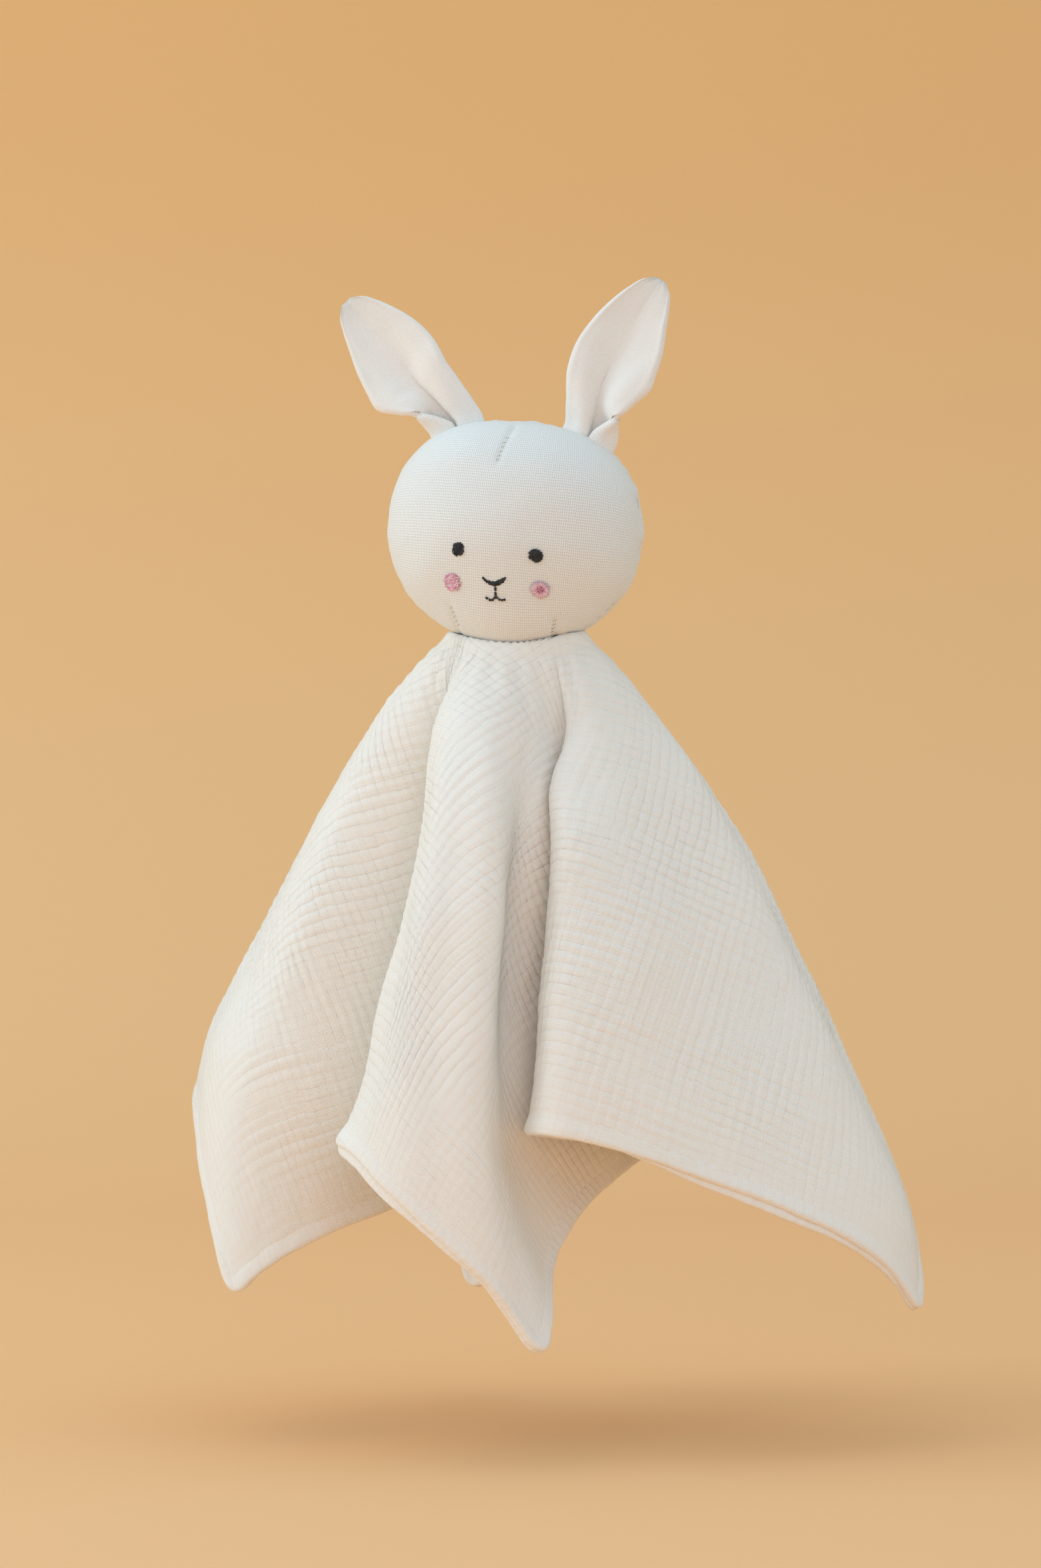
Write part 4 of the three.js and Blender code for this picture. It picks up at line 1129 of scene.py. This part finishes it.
def make_nose_and_mouth():
    rng = np.random.default_rng(71)
    place = np.array((0, -nose_drop))
    stitches = []
    for k in range(nose_stitches):
        top, bottom = (along_row(row, k / (nose_stitches - 1)) for row in (nose_top, nose_bottom))
        shift = np.array((rng.normal(0.15, 0.18), rng.normal(0, 0.14))) * mm
        stitches.append((*(place + top + shift), *(place + bottom - shift), nose_thread,
                         rng.uniform(0.3, 0.5) * mm, rng.uniform(0, 1)))
    for share, reach in ((0.1, 0.3), (0.38, 0.6), (0.62, 0.85)):
        a, b = (along_row((nose_top + nose_bottom) / 2, s) for s in (share, reach))
        stitches.append((*(place + a), *(place + b), nose_over_thread, 0.62 * mm, 0.5))
    embroidered("nose_stitches", stitches, black_thread, ("nose",))
    stem = np.array(stem_line) * mm + place
    stitches = [(*a, *b, stem_thread, line_rise, 0.3) for a, b in zip(stem[:-1], stem[1:])]
    embroidered("nose_stem_stitches", stitches, black_thread, ("nose_stem",))
    line = np.array(mouth_line) * mm - (0, mouth_drop)
    stitches = []
    for a, b in zip(line[:-1], line[1:]):
        middle = (a + b) / 2 - (0, 0.12 * mm)
        stitches += [(*c, *d, mouth_thread, line_rise, rng.random()) for c, d in ((a, middle), (middle, b))]
    embroidered("mouth_stitches", stitches, black_thread, ("mouth",))


def make_dart_stitches(name, start, end, places, node):
    """Small closing stitches that lie across a dart."""
    start, end = np.array(start), np.array(end)
    along = unit(end - start)
    step = np.array((-along[1], along[0])) * dart_step[0] - along * dart_step[1]
    stitches = [stitch(start + (end - start) * share, step, dart_thread, -0.02 * mm, share) for share in places]
    embroidered(name, stitches, white_thread, (node,))


make_eyes()
make_cheeks()
make_nose_and_mouth()
make_dart_stitches("forehead_dart_stitches", *forehead_dart, (0.3, 0.44, 0.56, 0.68, 0.8, 0.9), "forehead_dart")
for side, dart in zip(("left", "right"), chin_darts):
    make_dart_stitches(f"{side}_chin_dart_stitches", *dart, (0.2, 0.36, 0.52, 0.68, 0.84), f"{side}_chin_dart")


# Ears: each station along the ear has six places on each side of its middle, from the pleat out to the rim,
# as how far aside and how far forward they lie, in millimetres
ear_side_shares = (0, 0.2, 0.4, 0.6, 0.8, 1)
ear_tip = (
    (0.75, ((0, 0.4), (2.6, 0.8), (5.2, 1.4), (7.6, 2), (9.8, 2.4), (11.8, 2.6))),
    (0.88, ((0, 0.2), (1.8, 0.4), (3.6, 0.7), (5.4, 1), (7, 1.2), (8.4, 1.3))),
    (0.95, ((0, 0.1), (1.2, 0.2), (2.5, 0.4), (3.7, 0.5), (4.9, 0.6), (5.9, 0.7))),
    (1, ((0, 0), (0.5, 0), (1, 0), (1.5, 0), (2, 0), (2.4, 0))),
)
ear_outer_side = (
    (-0.08, ((0, 0.3), (4, 0.4), (8.6, 0.8), (9.6, 2.4), (6, 4.2), (0.6, 4.6))),
    (0, ((0, 0.3), (4, 0.4), (8.5, 0.8), (9.7, 2.6), (6, 4.6), (0.9, 5.2))),
    (0.05, ((0, 0.4), (4, 0.8), (8.2, 1.4), (9.7, 3.6), (7, 5.8), (3.2, 6.8))),
    (0.1, ((0, 0.6), (3.6, 1.4), (7.2, 2.8), (9.3, 5.2), (8.8, 7.4), (6.6, 8.6))),
    (0.16, ((0, 0.8), (2.8, 2.4), (5.2, 4.6), (7.2, 6.8), (9.2, 8.2), (11.4, 8.4))),
    (0.24, ((0, 1), (2.6, 2.6), (5, 5.2), (8.2, 7.2), (11.6, 7.8), (14.8, 7.2))),
    (0.34, ((0, 1), (3.4, 2.6), (6.6, 5), (10.2, 6.6), (14.2, 7), (18, 6.2))),
    (0.46, ((0, 0.9), (3.6, 1.8), (7.2, 3.4), (10.8, 4.8), (14.2, 5.4), (17.2, 5))),
    (0.6, ((0, 0.7), (3.4, 1.2), (6.8, 2.2), (10, 3.2), (12.8, 3.8), (15.2, 4))),
    *ear_tip,
)
ear_inner_side = (
    (-0.08, ((0.2, 0.3), (0.7, 2.4), (1.4, 4.4), (4.4, 4.4), (7.4, 2.8), (9.7, 0.6))),
    (0, ((0.2, 0.3), (0.8, 2.6), (1.6, 4.8), (4.4, 4.6), (7.4, 3), (9.9, 1))),
    (0.05, ((0.2, 0.4), (0.8, 2.7), (1.6, 5), (4.5, 5.2), (7.6, 3.8), (10.1, 1.8))),
    (0.1, ((0.2, 0.6), (0.7, 2.9), (1.7, 5.4), (4.8, 5.9), (8, 4.6), (10.4, 2.6))),
    (0.16, ((0.3, 0.8), (1, 3.2), (2.2, 5.6), (5.2, 6.4), (8.4, 5.2), (10.8, 3.2))),
    (0.24, ((0.3, 1), (1.4, 3.2), (3, 5.4), (6, 6.6), (9.4, 6), (12.2, 4.4))),
    (0.34, ((0, 1), (2, 2.8), (4.4, 4.8), (7.4, 6.2), (10.8, 6.4), (13.8, 5.6))),
    (0.46, ((0, 0.9), (3, 1.8), (6, 3.2), (9.2, 4.6), (12.4, 5.2), (15, 5))),
    (0.6, ((0, 0.7), (3.2, 1.2), (6.4, 2.2), (9.4, 3.2), (12, 3.8), (14.4, 4))),
    *ear_tip,
)
ear_columns = 32
ear_rows = 110
ear_thickness = 2.6 * mm
ear_tuck_share = 0.08
ear_row_crowding = 1.35
ear_smoothing_rounds = 16
smoothed_stations = (0.1, 0.4)
# The panels close round the rim and the end from these shares on, and the rim's roll is thicker by a share, at a place
# and over a width
rim_from = 0.88
end_from = 0.96
rim_roll = (0.25, 0.86, 0.07)
uv_half_width = 15


def ear_half(table, stations):
    """The ear's middle surface on one side of its pleat: places aside and forward for each station and column."""
    at = np.array([row[0] for row in table])
    places = np.array([np.array(row[1]).ravel() for row in table]) * mm
    rows = spline(at, places, stations).reshape(len(stations), 6, 2)
    columns = np.linspace(0, 1, ear_columns + 1)
    flat = rows.transpose(1, 0, 2).reshape(6, -1)
    return spline(np.array(ear_side_shares), flat, columns).reshape(len(columns), len(stations), 2).transpose(1, 0, 2)


def ear_section(hand, stations, inward):
    """How far aside and forward the ear's middle surface lies, from its left rim to its right one."""
    outer = ear_half(ear_outer_side, stations) * (hand, 1)
    inner = ear_half(ear_inner_side, stations) * (-hand, 1)
    left, right = (outer, inner) if hand < 0 else (inner, outer)
    section = np.concatenate([left[:, :0:-1], right], 1)
    section[..., 0] -= hand * np.interp(stations, (0, 0.3, 0.6, 1), inward)[:, None] * mm
    for _ in range(ear_smoothing_rounds):
        wide = np.pad(section, ((0, 0), (1, 1), (0, 0)), mode="reflect", reflect_type="odd")
        rounder = (wide[:, :-2] + 2 * wide[:, 1:-1] + wide[:, 2:]) / 4
        section += (rounder - section) * smooth_step(*smoothed_stations, stations)[:, None, None]
    return section


def ear_spine(hand, stations, heading_deg, tip_share):
    """Where the ear's pleat runs, across and up, and how far the ear leans at each station."""
    fine = np.linspace(0, 1, 241)
    headings = spline(np.linspace(0, 1, len(heading_deg)), np.array(heading_deg)[:, None], fine)[:, 0]
    headings = np.radians(hand * headings)
    steps = np.stack([np.sin(headings), np.cos(headings)], -1) * ear_length * tip_share / (len(fine) - 1)
    spine = np.concatenate([[(0, 0)], np.cumsum(steps, 0)])[:-1]
    along = np.clip(stations, 0, 1)
    spine = read_off(along, fine, spine)
    spine[:, 1] += np.minimum(stations, 0) * ear_length
    return spine, np.interp(along, fine, headings) * np.clip(along / 0.2, 0, 1)


def quarter_round(share, start):
    """From 1 to 0 as a quarter of a circle, between a share and 1."""
    return np.sqrt(np.clip(1 - (np.maximum(share - start, 0) / (1 - start)) ** 2, 0, 1))


def make_ear(side, hand, seat_deg, slope_deg, heading_deg, inward, tip_share):
    """An ear of two panels that close round its rim, folded in a pleat and seated on the crown."""
    shares = np.linspace(0, 1, ear_rows + 1)
    stations = -ear_tuck_share + (1 + ear_tuck_share) * (1 - (1 - shares) ** ear_row_crowding)
    section = ear_section(hand, stations, inward)
    spine, slant = ear_spine(hand, stations, heading_deg, tip_share)
    aside = np.stack([np.cos(slant), 0 * slant, -np.sin(slant)], -1)
    middle = np.stack([spine[:, 0], 0 * slant, spine[:, 1]], -1)[:, None] + aside[:, None] * section[..., :1]
    middle[..., 1] -= section[..., 1]
    out = unit(np.cross(np.gradient(middle, axis=1), np.gradient(middle, axis=0)))
    column = np.linspace(-1, 1, section.shape[1])
    rim = quarter_round(np.abs(column), rim_from)
    end = quarter_round(stations, end_from)
    plump = 1 + rim_roll[0] * hill(np.abs(column) - rim_roll[1], rim_roll[2])
    half = ear_thickness / 2 * np.maximum(rim[None, :] * end[:, None], 0.02) * plump[None, :]
    u, v = column[None, :] * uv_half_width, stations[:, None] * ear_length / mm
    waves = soft_noise(u / 2.6 + 20, v / 16 + 20, 80 + hand) * 0.16 + soft_noise(u / 7 + 5, v / 11 + 5, 84 + hand) * 0.3
    waves = waves * rim[None, :] * mm
    front, back = middle + out * (half + waves)[..., None], middle - out * (half - waves)[..., None]
    ring = np.concatenate([front, back[:, ::-1]], 1)
    index = np.arange(ring[..., 0].size).reshape(ring.shape[:2])
    index = np.concatenate([index, index[:, :1]], 1)
    faces = grid_faces(index, True)
    faces += [tuple(index[0, :-1].tolist()), tuple(index[-1, -2::-1].tolist())]
    u, v = (np.broadcast_to(place, section.shape[:2]) for place in (u, v))
    uv = np.stack([np.concatenate([u, u[:, ::-1] + 40], 1), np.concatenate([v, v], 1)], -1) * mm
    seat = math.radians(seat_deg)
    seat_place = head_point(np.array((hand * math.sin(seat), 0, math.cos(seat))), clearance + ear_base_roll / 2)
    points = turned(ring.reshape(-1, 3), hand * slope_deg, "y") + seat_place
    made = piece(f"{side}_ear_cloth", head_to_part(points), faces, uv.reshape(-1, 2))
    nodes = [f"{side}_ear_{layer}" for layer in ("front", "back", "wadding", "tuck")]
    dressed(made, ear_cotton, None, nodes)
    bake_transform(made)
    return made


for ear_side, seat in ear_seats.items():
    make_ear(ear_side, **seat)

for node in ("side_seam_thread", "neck_tack_stitches", "neck_seam_stitches"):
    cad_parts[node].data.materials.clear()
    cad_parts[node].data.materials.append(white_thread)


# Floor, backdrop and light

floor_height = -0.372
floor_near = -2.2
wall_back = 1.5
wall_top = 2.4
wall_bend = 0.7
bend_steps = 16
paper_half_width = 3


def make_backdrop():
    """A sheet of paper that lies on the floor and rises in a bend behind the part."""
    bend_start = wall_back - wall_bend
    profile = [(floor_near, floor_height), (bend_start, floor_height)]
    for k in range(1, bend_steps + 1):
        angle = k / bend_steps * math.pi / 2
        rise = wall_bend * (1 - math.cos(angle))
        profile.append((bend_start + wall_bend * math.sin(angle), floor_height + rise))
    profile.append((wall_back, wall_top))
    points = [(x, y, z) for x in (-paper_half_width, paper_half_width) for y, z in profile]
    n = len(profile)
    faces = [(i, n + i, n + i + 1, i + 1) for i in range(n - 1)]
    return piece("backdrop", turned(np.array(points, float), blanket_turn_deg, "z"), faces)


def paper_finish():
    """Paper with painted shade that darkens it as it rises, and that the camera sees through from behind, to show the
    part from there.
    """
    made, tree, shader = new_material("backdrop_paper")
    axes = new_node(tree, "SeparateXYZ", {0: new_node(tree, "TexCoord", {}).outputs["Object"]})
    # Painted shade: the paper's colour darkens from the floor up the wall
    rise = between(tree, axes.outputs["Z"], -0.37, 0.5)
    tree.links.new(two_tones(tree, rise, linear(249, 198, 143), linear(243, 188, 125)), shader.inputs["Base Color"])
    shader.inputs["Roughness"].default_value = 0.9
    behind = worked(tree, "MULTIPLY", new_node(tree, "NewGeometry", {}).outputs["Backfacing"],
                    new_node(tree, "LightPath", {}).outputs["Is Camera Ray"])
    clear = new_node(tree, "BsdfTransparent", {}).outputs[0]
    shown = new_node(tree, "MixShader", {0: behind, 1: shader.outputs[0], 2: clear}).outputs[0]
    tree.links.new(shown, tree.nodes["Material Output"].inputs["Surface"])
    return made


backdrop = make_backdrop()
backdrop.data.materials.append(paper_finish())


def soft_lamp(name, place, target, size, power, colour):
    lamp = bpy.data.objects.new(name, bpy.data.lights.new(name, "AREA"))
    lamp.data.shape = "DISK"
    lamp.data.size = size
    lamp.data.energy = power
    lamp.data.color = colour
    lamp.location = place
    aim = np.array(target) - np.array(place)
    lamp.rotation_euler = (math.acos(-aim[2] / np.linalg.norm(aim)), 0, math.atan2(aim[1], aim[0]) - math.pi / 2)
    bpy.context.scene.collection.objects.link(lamp)


soft_lamp("left_light", (-1.8, -0.5, 0.6), (0, 0, -0.15), size=1.4, power=13.6, colour=(0.71, 0.89, 1))
soft_lamp("low_light", (0.2, -1.1, -0.33), (0, 0, -0.15), size=0.8, power=2.3, colour=(1, 0.36, 0.22))
soft_lamp("top_light", (-0.4, -0.3, 1.25), (0, 0, -0.05), size=0.8, power=1.9, colour=(1, 0.56, 0.36))
world = bpy.data.worlds.new("studio")
bpy.context.scene.world = world
world.use_nodes = True
sky = world.node_tree.nodes["Background"]
sky.inputs["Color"].default_value = (0.7, 0.89, 1, 1)
sky.inputs["Strength"].default_value = 0.87
bpy.context.scene.view_settings.view_transform = "Standard"
